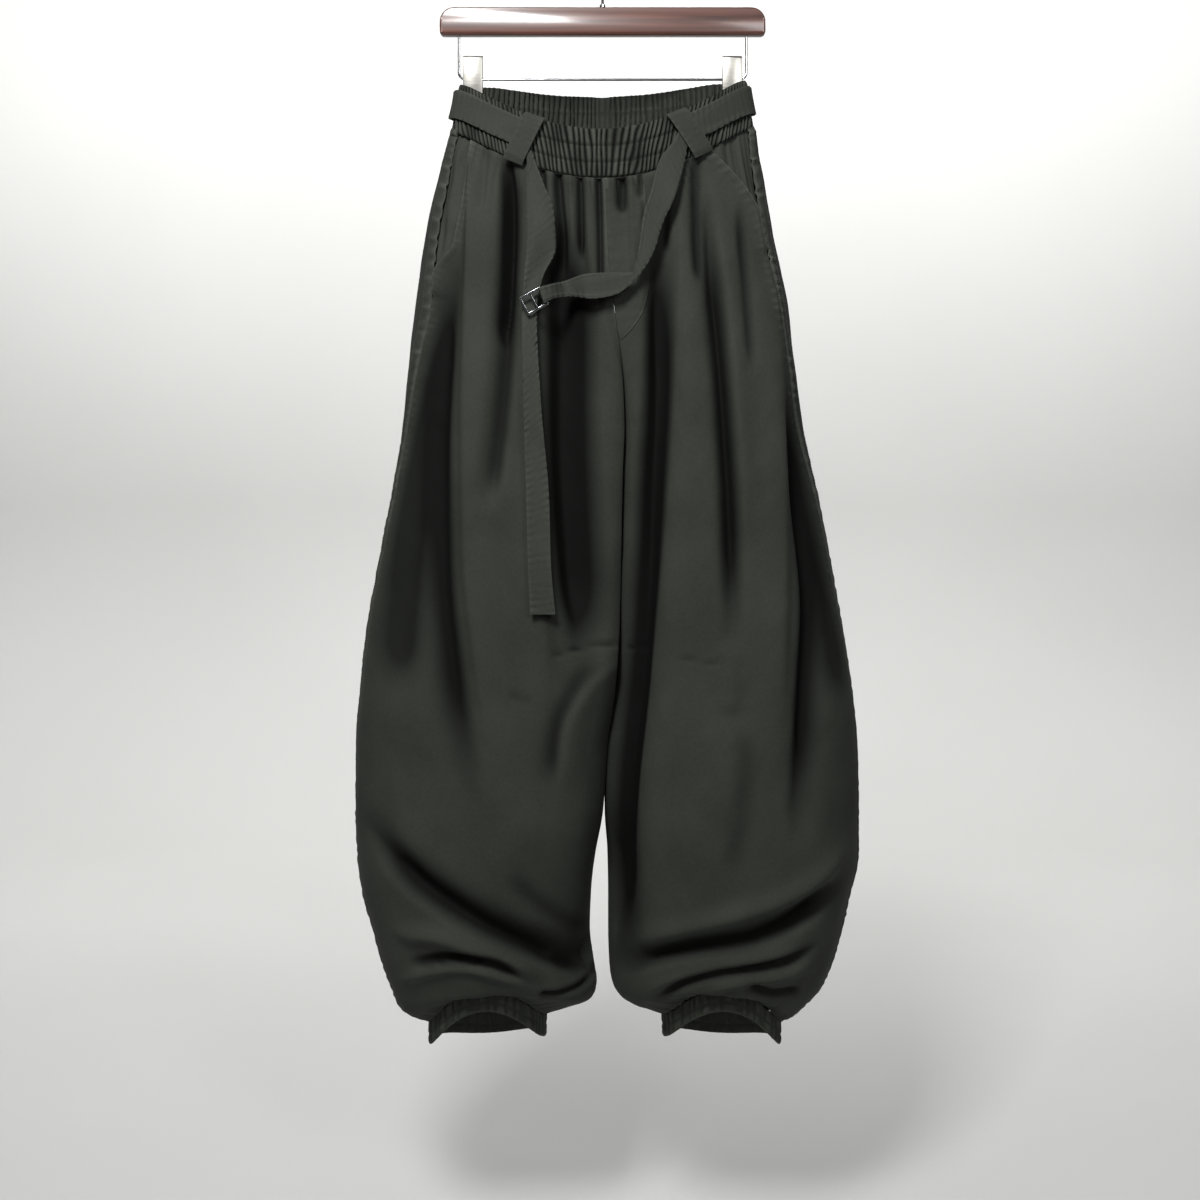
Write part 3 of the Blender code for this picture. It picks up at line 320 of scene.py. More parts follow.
# The largest folds. Each runs through its points (x, z); height is out of the cloth for a ridge
# and into it for a valley. minus and plus are how far it reaches to the two sides of its line:
# plus is to the right of a line that runs down, and above one that runs to the right. All in mm.
FOLD_END = 0.22  # the part of a fold's length over which it dies out at each end
VALLEY_DEEPER = 1.25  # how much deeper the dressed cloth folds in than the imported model's
FOLDS = fold_table("""
r front     9   7  34  -144 -194, -146 -408, -146 -536, -144 -675, -133 -782, -110 -943
r front   -12  18  12  -157 -317, -173 -451, -177 -558, -173 -686, -158 -814, -129 -964
r front   -11  12   8  -96 -205, -100 -408, -110 -547, -123 -643
r front   -20  14  34  -58 -301, -45 -440, -42 -569, -33 -686, -14 -814
r front     7  26  10  1 -333, 14 -536, 16 -708, 4 -900
r front     7  14  10  -76 -301, -70 -536, -66 -686, -58 -857
r front   -17   8  20  -262 -956, -219 -1015, -163 -1055, -110 -1084, -67 -1105, -24 -1130, 8 -1148
r front    10   9  10  -238 -1084, -185 -1084, -142 -1095, -99 -1112, -58 -1139
l front     9   7  40  90 -205, 82 -408, 73 -590, 56 -786, 43 -915, 23 -1114
l front   -18   9  22  59 -291, 58 -440, 46 -622, 36 -772, 23 -900, 13 -1050, 14 -1157
l front   -14   9   9  110 -248, 123 -440, 130 -547, 135 -643, 137 -793
l front     7  22   8  171 -269, 188 -440, 193 -558, 191 -708, 185 -921
l front   -13  10  16  196 -462, 215 -622, 224 -729, 217 -836, 202 -1007
l front   -15   7  16  4 -1152, 51 -1114, 104 -1099, 160 -1090, 224 -1063, 267 -1026
l front     9   9  12  12 -1130, 70 -1086, 130 -1065, 185 -1048, 232 -1026, 273 -986
r back    -14  12  20  -104 -200, -122 -400, -126 -600, -118 -860
r back      8  24   9  -66 -190, -80 -400, -86 -620, -76 -920
r back    -13  12  12  -30 -300, -42 -480, -40 -640, -16 -800
l back    -14  20  12  108 -200, 128 -400, 134 -600, 124 -840
l back      8   9  24  70 -190, 86 -400, 92 -620, 84 -940
l back    -13  12  12  44 -300, 56 -480, 58 -640, 48 -780
r back    -12   9  16  -240 -1035, -190 -1075, -130 -1100, -30 -1075
r back      9   9   9  -245 -1090, -190 -1125, -130 -1140, -30 -1115
l back    -12   9  16  30 -1070, 130 -1105, 190 -1080, 245 -1035
l back      9   9   9  30 -1115, 130 -1145, 190 -1128, 250 -1085
""")

# %% Reading the tables
def through(knots, values, at):
    """A monotone cubic through a table's rows, so that no bulge appears between two of them."""
    knots = np.asarray(knots, float)
    values = np.asarray(values, float)
    step = np.diff(knots)
    climb = np.diff(values) / step
    slope = np.zeros(len(knots))
    same = climb[:-1] * climb[1:] > 0
    w_left = 2 * step[1:] + step[:-1]
    w_right = step[1:] + 2 * step[:-1]
    with np.errstate(divide="ignore", invalid="ignore"):
        harmonic = (w_left + w_right) / (w_left / climb[:-1] + w_right / climb[1:])
    slope[1:-1] = np.where(same, harmonic, 0)
    slope[0] = climb[0]
    slope[-1] = climb[-1]
    at = np.clip(at, knots[0], knots[-1])
    span = np.clip(np.searchsorted(knots, at, side="right") - 1, 0, len(knots) - 2)
    t = (at - knots[span]) / step[span]
    return (
        values[span] * (1 + 2 * t) * (1 - t) ** 2
        + slope[span] * step[span] * t * (1 - t) ** 2
        + values[span + 1] * t**2 * (3 - 2 * t)
        + slope[span + 1] * step[span] * t**2 * (t - 1)
    )


def section(name, row):
    """One column of the sections, at any row between them."""
    if name in SECTIONS:
        return through(range(LAST_SECTION + 1), SECTIONS[name], row)
    return through(DRAPE["number"], DRAPE[name], row)


def waist_plan(u):
    return tuple(through(WAIST["u"], WAIST[name], u) for name in ("x", "y"))


def sag(u, front, back):
    """How far an edge hangs below its sides: most at the centre, nothing at the side."""
    return np.where(u > 0, front, back) * np.abs(np.sin(math.pi / 2 * u)) ** 2.4


def plain_cloth(side, u, row):
    """The trousers' surface without folds. side is -1 for the wearer's right and 1 for the left."""
    u, row = np.broadcast_arrays(np.asarray(u, float), np.asarray(row, float))
    leg = LEG[side]
    outer = section(f"side_{leg}", row)
    inner = section(f"inner_{leg}", row) + side * SEAM_GAP / 2
    depth = np.where(u > 0, section("front", row), section("back", row))
    waist, oval, hip = (section(name, row) for name in ("waist", "oval", "hip"))
    quarter, half = math.pi / 2 * u, math.pi * u
    plan_x, plan_y = waist_plan(u)
    plan_y = plan_y - BAND_BULGE * u**3
    oval_x = inner + (outer - inner) * ((1 - waist) * np.cos(quarter) + waist * plan_x / WAIST_HALF)
    oval_y = -(1 - waist) * depth * np.sin(quarter) + waist * plan_y
    leg_x = (outer + inner) / 2 + (outer - inner) / 2 * np.cos(half)
    bow = np.abs(np.sin(half)) ** np.where(np.abs(u) > 0.5, section("corner", row), OUTER_CORNER)
    fill = np.where(np.abs(u) > 0.5, hip * (1 - bow), 0)
    leg_y = -depth * np.sign(u) * (bow + fill)
    x = oval * oval_x + (1 - oval) * leg_x
    y = oval * oval_y + (1 - oval) * leg_y
    across = (1 - np.cos(half)) / 2
    z = section("side_z", row) * (1 - across) + section("inner_z", row) * across
    z = z - sag(u, section("front_sag", row), BACK_SAG * waist) + TILT * x * waist
    lift = np.where(u > 0, section("front_lift", row), section("back_lift", row))
    return np.stack([x, y, z + lift * np.sin(half) ** 2], -1)


# %% Normals of a surface
def bell(distance, width, power=2):
    """1 at the middle, falling to nothing over about its width."""
    return np.exp(-((distance / width) ** power))


def rise(at, start, length):
    """0 up to the start, then evenly up to 1 over the length."""
    return np.clip((at - start) / length, 0, 1)


def unit(vectors):
    return vectors / np.maximum(np.linalg.norm(vectors, axis=-1, keepdims=True), 1e-12)


def outward(surface, side, u, row):
    """The surface's normal, from small steps across it and down it."""
    step = 0.004
    u, row = np.broadcast_arrays(np.asarray(u, float), np.asarray(row, float))
    before, after = (np.clip(u + change, -1, 1) for change in (-step, step))
    above, below = (np.clip(row + change, 0, LAST_SECTION) for change in (-step, step))
    across = surface(side, after, row) - surface(side, before, row)
    down = surface(side, u, below) - surface(side, u, above)
    return unit(np.cross(across, down)) * side


# %% Folds as lines with a height
def distance_to_line(points, line):
    """Distance from each point to a fold's line, how far along it the nearest place is, and the
    side: 1 to the right of a line that runs down and above one that runs to the right, else -1."""
    line = np.asarray(line, float)
    steps = np.linspace(0, len(line) - 1, 4 * len(line))
    smooth = np.stack([through(range(len(line)), line[:, i], steps) for i in (0, 1)], -1)
    best = np.full(points.shape[:-1], 1e9)
    along = np.zeros(points.shape[:-1])
    side = np.zeros(points.shape[:-1])
    for i, (start, end) in enumerate(zip(smooth[:-1], smooth[1:])):
        way = end - start
        t = np.clip(((points - start) @ way) / (way @ way), 0, 1)
        offset = points - start - t[..., None] * way
        gap = np.linalg.norm(offset, axis=-1)
        nearer = gap < best
        along = np.where(nearer, (i + t) / (len(smooth) - 1), along)
        side = np.where(nearer, np.sign(way[0] * offset[..., 1] - way[1] * offset[..., 0]), side)
        best = np.minimum(gap, best)
    return best, along, side


def one_fold(places, tall, minus, plus, line):
    """A fold's height: full along its middle, nothing at its ends, steeper on its narrower side."""
    gap, along, side = distance_to_line(places, line)
    taper = rise(np.minimum(along, 1 - along), 0, FOLD_END)
    width = np.where(side > 0, plus, minus)
    tall = tall * (VALLEY_DEEPER if tall < 0 else 1)
    return tall * taper * taper * (3 - 2 * taper) * bell(gap, width)


def folds(side, u, row, base):
    """Height of the folds at each point, fading at the seams and at the band and cuff."""
    height = np.zeros(base.shape[:-1])
    for leg, face, tall, minus, plus, line in FOLDS:
        if leg == LEG[side]:
            here = (u > 0) if face == "front" else (u < 0)
            height += np.where(here, one_fold(base[..., ::2], tall, minus, plus, line), 0)
    seam_room = np.minimum(rise(np.abs(u), 0, 0.12), rise(1 - np.abs(u), 0, 0.07))
    end_room = np.minimum(rise(row, 0, 1.2), rise(LAST_SECTION - row, 0, 2))
    return height * seam_room * end_room


def cloth(side, u, row):
    """The trousers' outer surface, with its folds."""
    base = plain_cloth(side, u, row)
    return base + folds(side, u, row, base)[..., None] * outward(plain_cloth, side, u, row)


def moved_out(side, u, row, amount):
    return cloth(side, u, row) + amount * outward(cloth, side, u, row)


# %% Points of the waistband
def band_point(angle, down, out):
    """A point of the waistband: angle goes round from the left side by the front, down is 0 at the
    top edge and 1 at the lower one, and out is the distance from its middle surface."""
    u, plan = band_plan(angle)
    out = np.broadcast_to(out, np.shape(angle))
    x = plan[..., 0] * (1 + down * BAND_FLARE / WAIST_HALF)
    y = plan[..., 1] - down * BAND_BULGE * u**3
    z = WAIST_SIDE_Z - down * BAND_HEIGHT + TILT * x - sag(u, FRONT_SAG, BACK_SAG)
    return np.stack([x, y, z], -1) + out[..., None] * band_normal(angle)


def band_normal(angle):
    step = 0.01
    way = unit(band_plan(angle + step)[1] - band_plan(angle - step)[1])
    flat = np.stack([-way[..., 1], way[..., 0]], -1)
    return np.concatenate([flat, np.zeros_like(flat[..., :1])], -1)


def band_plan(angle):
    """u and the waist's x and y at an angle round the band."""
    side, front = (np.where(part >= 0, 1, -1) for part in (np.cos(angle), np.sin(angle)))
    u = np.arcsin(np.clip(np.abs(np.sin(angle)), 0, 1)) / (math.pi / 2) * front
    plan_x, plan_y = waist_plan(u)
    return u, np.stack([side * plan_x, plan_y], -1)


def even_angles(count):
    """Angles that divide the waist's length evenly, starting at the wearer's left side."""
    fine = np.linspace(0, 2 * math.pi, 2881)
    points = band_point(fine, 0.0, 0.0)
    length = np.concatenate([[0], np.cumsum(np.linalg.norm(np.diff(points, axis=0), axis=1))])
    return np.interp(np.arange(count) / count * length[-1], length, fine)


print("sections:", LAST_SECTION + 1, "large folds:", len(FOLDS))

# %% [markdown]
# ## Smaller folds
#
# The largest folds are in the tables above. The eye also looks for the smaller ones: the sharp
# pleats where the fullness goes into the band, the creases that slant over the cuffs, and the dents
# at the knees. Each is one more line with a height and its widths, in millimetres.

# %% Fine folds
FINE_FOLDS = fold_table("""
r front    -5  26  20  -178 -408, -201 -569, -215 -729, -221 -836
l front    -5  20  26  224 -472, 245 -601, 260 -750, 264 -857
r front    -6   5 3.5  -67 -250, -65 -291, -67 -344
r front    -7   6 3.5  -50 -250, -46 -296, -42 -339, -44 -381
r front    -6   5   3  -26 -250, -23 -301, -22 -368
r front     3   3   7  -19 -253, -16 -317, -14 -397
r front    -5   4   3  -5 -252, -3 -317, -1 -430
r front   2.5   3   5  -37 -250, -34 -307, -32 -365
r front     2   3   4  -58 -248, -56 -291, -54 -339
l front    -7   7   3  21 -250, 23 -280, 23 -316
l front    -5   4 2.5  40 -248, 41 -275, 41 -301
l front     3   4   7  29 -250, 32 -328, 36 -408
l front   2.8   4   4  38 -246, 40 -307, 42 -360
l front   2.8 4.5 4.5  57 -239, 59 -307, 61 -365
l front  -3.5 3.5 3.5  69 -237, 70 -307, 69 -360
r front    -9   9   4  -103 -233, -101 -301, -102 -397, -107 -462
r front     4   3  20  -143 -224, -145 -317, -146 -408
r front     3   7   7  -161 -216, -164 -285, -168 -333
r front    -2   6   3  -127 -224, -129 -264, -131 -312
r front    -4   8   8  -72 -494, -67 -643, -58 -772
r front     3   8  14  16 -772, -16 -817, -36 -868, -39 -943
r front  -3.5  12   5  10 -782, -26 -825, -48 -873, -54 -932
r front    -8   6   6  -212 -1120, -157 -1107, -121 -1110, -84 -1133
r front     6   6   6  -227 -1148, -190 -1127, -150 -1118, -110 -1127, -73 -1146
r front    -5   4   4  -71 -1152, -46 -1154, -1 -1146
r front     5   8   8  -58 -1110, -26 -1125, -3 -1144
r front  -2.5  10  10  -104 -1015, -51 -1066, -9 -1101
r front  -2.4 1.6 1.6  -61 -788, -19 -779, 16 -775
r front    -1   5   5  -101 -825, -87 -832, -73 -835
l front  -2.4 1.6 1.6  23 -780, 33 -782, 44 -783
l front  -1.4 1.6 1.6  80 -788, 106 -792, 134 -796
l front   4.5  12  12  130 -766, 135 -812, 132 -852
l front     4   6  20  121 -301, 137 -515, 145 -686
l front  -4.5   6   6  102 -226, 101 -328, 103 -397
l front  -3.5   6   6  150 -291, 155 -397, 160 -494
l front     4   5   6  40 -1157, 78 -1133, 134 -1116, 179 -1108, 224 -1092
l front    -7   5   6  51 -1169, 87 -1137, 136 -1122, 190 -1116, 239 -1097
l front     4   5   5  104 -1148, 147 -1135, 195 -1131, 232 -1116
l front    -5 5.5 5.5  149 -1135, 187 -1152, 217 -1150
l front  -1.5  11  11  153 -857, 149 -943, 132 -1028
r back   -4.5   4   4  -20 -195, -21 -265, -24 -320
r back      3   5   5  -34 -195, -36 -270, -40 -340
r back     -4   4   4  -50 -194, -53 -260, -58 -310
r back     -5   5   5  -78 -190, -83 -270, -90 -355
r back    3.5   6   6  -94 -190, -99 -280, -104 -380
r back     -4   6   6  -146 -220, -160 -330, -166 -440
r back      4  12  12  -160 -450, -185 -620, -200 -820
r back     -5  11  11  -205 -620, -208 -760, -190 -920
r back      5  14  14  -55 -580, -60 -760, -75 -920
r back    4.5   7   7  -200 -1125, -140 -1160, -70 -1150
l back   -4.5   4   4  18 -195, 19 -270, 22 -330
l back      3   5   5  32 -194, 34 -265, 38 -325
l back     -4   4   4  47 -193, 50 -255, 55 -305
l back     -5   5   5  82 -190, 88 -275, 94 -365
l back    3.5   6   6  99 -189, 104 -290, 112 -390
l back     -4   6   6  148 -220, 160 -330, 170 -450
l back      4  12  12  165 -460, 190 -630, 205 -840
l back     -5  11  11  212 -620, 218 -770, 200 -930
l back      5  14  14  60 -580, 66 -760, 85 -920
l back    4.5   7   7  205 -1120, 145 -1160, 75 -1150
""")
print("fine folds:", len(FINE_FOLDS))

# %% [markdown]
# ## A piece of cloth
#
# A cloth piece could be one sheet with a Solidify modifier, but then both faces have the same
# folds. Real gathered cloth differs inside and out, so each piece here is a wall between an outer
# and an inner net of points. The net's own lengths give the UV map, so the weave keeps its scale.

# %% Walls of cloth between two nets
def lengths(points, axis):
    """Distance travelled along each line of a net."""
    steps = np.linalg.norm(np.diff(points, axis=axis), axis=-1)
    start = np.zeros_like(np.take(steps, [0], axis=axis))
    return np.concatenate([start, np.cumsum(steps, axis=axis)], axis=axis)


def resampled(at, run, values):
    """Points or directions at other places along a line; run is how far along each value lies."""
    return np.stack([np.interp(at, run, values[:, i]) for i in range(3)], -1)


def net_normals(points):
    return unit(np.cross(np.gradient(points, axis=1), np.gradient(points, axis=0)))


def wall_faces(rows, columns, closed):
    """Quads of both nets and of the edges between them, as indices."""
    index = np.arange(rows * columns).reshape(rows, columns)
    here, there = (index, np.roll(index, -1, 1)) if closed else (index[:, :-1], index[:, 1:])
    outer = np.stack([here[:-1], here[1:], there[1:], there[:-1]], -1).reshape(-1, 4)
    count = rows * columns
    top = np.stack([here[0], there[0], there[0] + count, here[0] + count], -1)
    low = np.stack([there[-1], here[-1], here[-1] + count, there[-1] + count], -1)
    parts = [outer, outer[:, ::-1] + count, top, low]
    if not closed:
        first, last = index[:, 0], index[:, -1]
        parts.append(np.stack([first[1:], first[:-1], first[:-1] + count, first[1:] + count], -1))
        parts.append(np.stack([last[:-1], last[1:], last[1:] + count, last[:-1] + count], -1))
    return np.concatenate(parts)


def signed_volume(points, faces):
    corners = points[faces]
    fan = np.einsum("ij,ij->i", corners[:, 0], np.cross(corners[:, 1], corners[:, 2]))
    fan += np.einsum("ij,ij->i", corners[:, 0], np.cross(corners[:, 2], corners[:, 3]))
    return fan.sum() / 6


def hand_over(made, nodes=()):
    """Puts a piece on the frame's body and lets it stand for CAD nodes."""
    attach(made, "root")
    if nodes:
        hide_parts(*nodes)


def new_object(name, data):
    made = bpy.data.objects.new(name, data)
    bpy.context.scene.collection.objects.link(made)
    return made


def cloth_piece(name, nodes, outer, inner, finish, wear=0.0, closed=False, fold=0.0):
    """Builds the wall, its UV map in metres, its wear and the painted shade at the bottoms of deep folds,
    and lets it stand for CAD nodes."""
    rows, columns = outer.shape[:2]
    points = np.concatenate([outer.reshape(-1, 3), inner.reshape(-1, 3)])
    faces = wall_faces(rows, columns, closed)
    if signed_volume(points, faces) < 0:
        faces = faces[:, ::-1]
    mesh = bpy.data.meshes.new(name)
    mesh.from_pydata(points.tolist(), [], faces.tolist())
    across, down = lengths(outer, 1), lengths(outer, 0)
    flat = np.stack([across - across[:, columns // 2 : columns // 2 + 1], down], -1).reshape(-1, 2)
    corner = faces.reshape(-1)
    uv = np.concatenate([flat, flat])[corner]
    if closed:
        girth = across[:, -1].mean() * columns / (columns - 1)
        seam = (corner % columns == 0).reshape(-1, 4)
        crosses = seam.any(1) & (corner % columns == columns - 1).reshape(-1, 4).any(1)
        uv[(seam & crosses[:, None]).reshape(-1), 0] += girth
    mesh.uv_layers.new(name="UVMap").data.foreach_set("uv", uv.reshape(-1))
    for name_of_layer, values in (("wear", wear), ("fold", fold)):
        flat_values = np.broadcast_to(values, (rows, columns)).reshape(-1)
        layer = mesh.attributes.new(name_of_layer, "FLOAT", "POINT")
        layer.data.foreach_set("value", np.concatenate([flat_values, flat_values * 0.3]).astype(np.float32))
    mesh.materials.append(finish)
    mesh.shade_smooth()
    mesh.set_sharp_from_angle(angle=math.radians(70))
    made = new_object(name, mesh)
    hand_over(made, nodes)
    print(name, "quads:", len(faces), "size:", [round(v * 1000) for v in np.ptp(points, axis=0)])
    return made


# %% [markdown]
# ## Relief of a panel
#
# On top of the folds, sewing itself shapes cloth. Where a long edge is gathered into a shorter
# one, small pleats start at the seam and die out. A seam that is stitched and then washed shrinks
# along its thread, so the cloth beside it ripples every 6 to 9 mm. All are heights that are added
# along the surface's normal, with the random values drawn from a fixed seed.

# %% Relief made by sewing
RIPPLE = 0.0072  # length of one pucker along a washed seam


def wander(along, seed, pitch, waves=5):
    """A smooth irregular wave of about one pitch, between -1 and 1."""
    draw = np.random.default_rng(seed)
    total = np.zeros_like(along)
    for length, phase in zip(draw.uniform(0.7, 1.5, waves), draw.uniform(0, math.tau, waves)):
        total += np.sin(along * math.tau / (pitch * length) + phase)
    return total / math.sqrt(waves)


def undulation(x, z, seed, across, down, waves=12):
    """A gentle unevenness of hanging cloth, longer down the leg than across it."""
    draw = np.random.default_rng(seed)
    total = np.zeros_like(x)
    for _ in range(waves):
        kx = math.tau / across * draw.normal()
        kz = math.tau / down * draw.normal()
        total += np.sin(kx * x + kz * z + draw.uniform(0, math.tau))
    return total / math.sqrt(waves)


def gathers(place, distance, seed, pitch, height, reach):
    """Small pleats that start at a gathered seam and fade with the distance from it."""
    draw = np.random.default_rng(seed)
    total = np.zeros_like(distance)
    at = place.min()
    while at < place.max():
        width = pitch * draw.uniform(0.16, 0.34)
        tall = height * draw.uniform(0.45, 1.25) * (-1 if draw.random() < 0.62 else 0.8)
        long = reach * draw.uniform(0.35, 1.5)
        drift = draw.normal() * 0.06
        gap = (place - at - drift * distance) / (width * (1 + distance / reach))
        total += tall * bell(gap, 1) * bell(distance, long, 1.4)
        at += pitch * draw.uniform(0.6, 1.5)
    return total


def seam_groove(distance, width, depth):
    return -depth * bell(distance, width)


def ridge(distance, centre, width, height):
    """A flat raised strip, such as the layers of a seam."""
    return height / (1 + ((distance - centre) / (width / 2)) ** 8)


def fine_folds(side, u, base):
    total = np.zeros(base.shape[:-1])
    for leg, face, tall, minus, plus, line in FINE_FOLDS:
        if leg == LEG[side] and (face == "front") == (u[0, -1] > 0.6):
            total += one_fold(base[..., ::2], tall, minus, plus, line)
    return total


# %% [markdown]
# ## The four leg panels
#
# Each leg has a front and a back panel, cut wide and tapering to the cuff. The net of a panel is
# finer towards the inseam, where the leg turns quickly. The front panel's outer edge is the pocket
# mouth, folded and stitched twice; the back panel carries the felled side seam, a strip of
# layers 14 mm wide.

# %% Nets of the panels
PANEL_NET = {"front": (150, 262), "back": (132, 240)}
COLUMN_SPREAD = 1.4
MOUTH_END = {-1: 4.6, 1: 3.4}  # the section at which each pocket ends
RIM = 0.35 * CLOTH  # how far a panel's folded outer edge turns in
FELL = 0.014  # width of the side seam's strip of layers
MOUTH_SEAMS = (0.0020, 0.0080)  # the stitched lines' distances from the panel's outer edge
FELL_SEAMS = (0.0015, FELL - 0.0025)
SEAM_DENT = (0.0009, 0.0005)  # how wide and how deep a line of stitches sinks in
FELL_HEIGHT = 0.0016
MOUTH_LIFT = 0.0030  # how far the pocket mouth gapes
TOP_PLEATS = (0.0068, 0.0017, 0.030)  # pitch, height and reach
FOOT_PLEATS = (0.0075, 0.0015, 0.022)
UNEVEN = ((0.0007, 0.13, 0.36), (0.00022, 0.030, 0.060))  # height, length across and down the leg
FOLD_FOOT = 0.03  # over this distance the folds die out above the cuff
FINE_FOLD_ROOM = 0.025  # and the finer ones beside the side seam
# Painted shade: a fold's bottom is painted darker the deeper it lies, darkest at these depths, and the back
# panels get 0.6 of it.
DARKEST = {"large": 0.014, "hem": 0.006, "small": 0.006}  # depth of a fold whose bottom is darkest
BACK_DARKNESS = 0.6
LEGS_PART = 16.3  # the section at which the legs hang apart
LEAN = 0.004  # how far the inner walls would lean into each other
TUCK = {"up": 0.0035, "under": 0.0030, "below": 0.0008}  # the back's inner edges under its neighbours


def section_rows(count, start=0.0, end=LAST_SECTION):
    fine = np.linspace(start, end, 400)
    line = plain_cloth(-1, np.zeros_like(fine), fine)
    length = np.concatenate([[0], np.cumsum(np.linalg.norm(np.diff(line, axis=0), axis=1))])
    measure = length / length[-1] + 0.35 * (fine - start) / (end - start)
    return np.interp(np.linspace(0, measure[-1], count), measure, fine)


def panel_places(side, face):
    leg = LEG[side]
    columns, rows = PANEL_NET[face]
    row = section_rows(rows)
    seam_u = section("seam", row)
    start, end = -np.ones_like(row), seam_u
    if face == "front":
        start, end = np.maximum(section(f"mouth_{leg}", row), seam_u), np.ones_like(row)
    inset = SEAM_GAP / 2 / (math.pi / 2 * np.minimum(section("front", row), section("back", row)))
    free = 1 - section("hip", row)
    inset_start, inset_end = (inset, inset * free) if face == "front" else (inset * free, inset)
    start, end = start + inset_start, end - inset_end
    spread = 1 - (1 - np.linspace(0, 1, columns)) ** COLUMN_SPREAD
    spread = spread if face == "front" else 1 - spread[::-1]
    u = start[:, None] + (end - start)[:, None] * spread
    return u, np.repeat(row[:, None], columns, 1)


def edge_distances(face, base):
    """Each point's distances along the cloth to the outer edge, the inseam, the top and the foot."""
    across, down = lengths(base, 1), lengths(base, 0)
    to_end = across[:, -1:] - across
    outside, inside = (across, to_end) if face == "front" else (to_end, across)
    return across, outside, inside, down, down[-1:] - down


def fold_relief(side, face, u, row, base, outside, shared):
    """Height of the folds, and how much painted shade each point gets from how deep in one it lies."""
    large, small = folds(side, u, row, base), fine_folds(side, u, base)
    small = small * (1 - shared * (1 - rise(outside, 0, FINE_FOLD_ROOM)))
    deep = DARKEST["large"] + DARKEST["hem"] * rise(row, 15, 3)
    dark = np.clip(-large / deep, 0, 0.95) + np.clip(-small / DARKEST["small"], 0, 0.7)
    return large + small, np.clip(dark * (1.0 if face == "front" else BACK_DARKNESS), 0, 0.95)


def panel_relief(side, face, u, row, base):
    """All the heights of one panel, its wear, its painted shade in the folds, and distances from its edges.
    """
    seed = 10 * side + (1 if face == "front" else 3) + 100
    across, outside, inside, down, up = edge_distances(face, base)
    shared = rise(row, MOUTH_END[side], 1)  # below the pocket both panels share the outer edge
    calm = 1 - shared * bell(outside, 0.008)  # which stays level
    height, fold = fold_relief(side, face, u, row, base, outside, shared)
    height *= rise(up, 0, FOLD_FOOT)
    top, foot = (np.repeat(across[i : i + 1], len(across), 0) for i in (0, len(across) - 1))
    height += gathers(top, down, seed, *TOP_PLEATS) + gathers(foot, up, seed + 1, *FOOT_PLEATS) * calm
    gentle, slight = (
        tall * undulation(base[..., 0], base[..., 2], seed + 2 + i, wide, long)
        for i, (tall, wide, long) in enumerate(UNEVEN)
    )
    height += gentle * calm * rise(inside, 0, 0.03) + slight
    height += 0.0004 * wander(down, seed + 4, RIPPLE * 1.6) * bell(inside, 0.006)
    height += seam_groove(inside, 0.0016, 0.0008)
    rippled = wander(down, seed + 5, RIPPLE) * bell(outside, 0.011, 4) * (1 - 0.7 * rise(row, 7, 6))
    if face == "front":
        mouth = row < MOUTH_END[side]
        hem = np.where(mouth, 1.0, 0.35)
        height += hem * (0.0006 * rippled + ridge(outside, 0.004, 0.009, 0.0008))
        height += np.where(mouth, MOUTH_LIFT, 0) * bell(outside, 0.014)
        seams, rubbed = MOUTH_SEAMS, 0.6 * hem
    else:
        height *= rise(down, 0, 0.004)
        height += 0.0013 * rippled + ridge(outside, FELL / 2, FELL, FELL_HEIGHT)
        hem, seams, rubbed = 1.0, FELL_SEAMS, 0.4
    for line in seams:
        height += hem * seam_groove(outside - line, *SEAM_DENT)
    wear = 0.35 * bell(inside, 0.0025) + rubbed * bell(outside, 0.002) + 0.4 * np.clip(rippled, 0, 1)
    wear += 0.25 * (bell(down, 0.004) + bell(up, 0.004))
    return height, np.clip(wear, 0, 1), fold, outside, inside, down


PANELS = {}


def panel(side, face):
    u, row = panel_places(side, face)
    base = plain_cloth(side, u, row)
    normal = outward(plain_cloth, side, u, row)
    height, wear, fold, outside, inside, down = panel_relief(side, face, u, row, base)
    # Down to where the legs part, their inner walls lean on each other at the seam's plane.
    leaning = rise(row, 2.0, 1.0) * rise(LEGS_PART - row, 0, 1.3)
    height = height + LEAN * leaning * np.clip(-side * normal[..., 0] * 1.4, 0, 1)
    seam_x = section(f"inner_{LEG[side]}", row) + side * SEAM_GAP / 2
    outer = base + height[..., None] * normal
    outer[..., 0] = side * np.maximum(side * outer[..., 0], side * seam_x)
    out = net_normals(outer)
    out = out * np.sign(np.einsum("ijk,ijk->", out, normal))
    outer_net = outer.copy()
    edge = 0 if face == "front" else -1
    outer_net[:, edge] -= RIM * out[:, edge]
    inner = outer - CLOTH * out
    for net in (outer_net, inner):
        to_seam = np.clip(side * (net[..., 0] - seam_x), 0, None)
        last = to_seam[:, -1:] if face == "front" else to_seam[:, :1]
        net[..., 0] -= side * np.minimum(last, to_seam) * bell(inside, 0.006)
        net[..., 0] = side * np.maximum(side * net[..., 0], side * seam_x)
        net[0, :, 2] -= WAIST_SEAM
    if face == "back":  # no light comes through the seams
        inner[0] += (0, 0, TUCK["up"])
        onward = unit(outer[:, -1] - outer[:, -2])
        shared = rise(row[:, -1:], MOUTH_END[side], 1)
        inner[:, -1] += shared * (TUCK["under"] * onward - TUCK["below"] * out[:, -1])
    name = f"{face}_panel_{WHERE[side]}"
    PANELS[name] = {
        "points": outer_net, "normal": out, "outside": outside, "inside": inside, "down": down, "row": row,
        "fold": fold,
    }
    return cloth_piece(f"{name}_cloth", [name], outer_net, inner, PANEL_TWILL, wear, fold=fold)


# %% Make the panels
for side in (-1, 1):
    for face in ("front", "back"):
        made = panel(side, face)

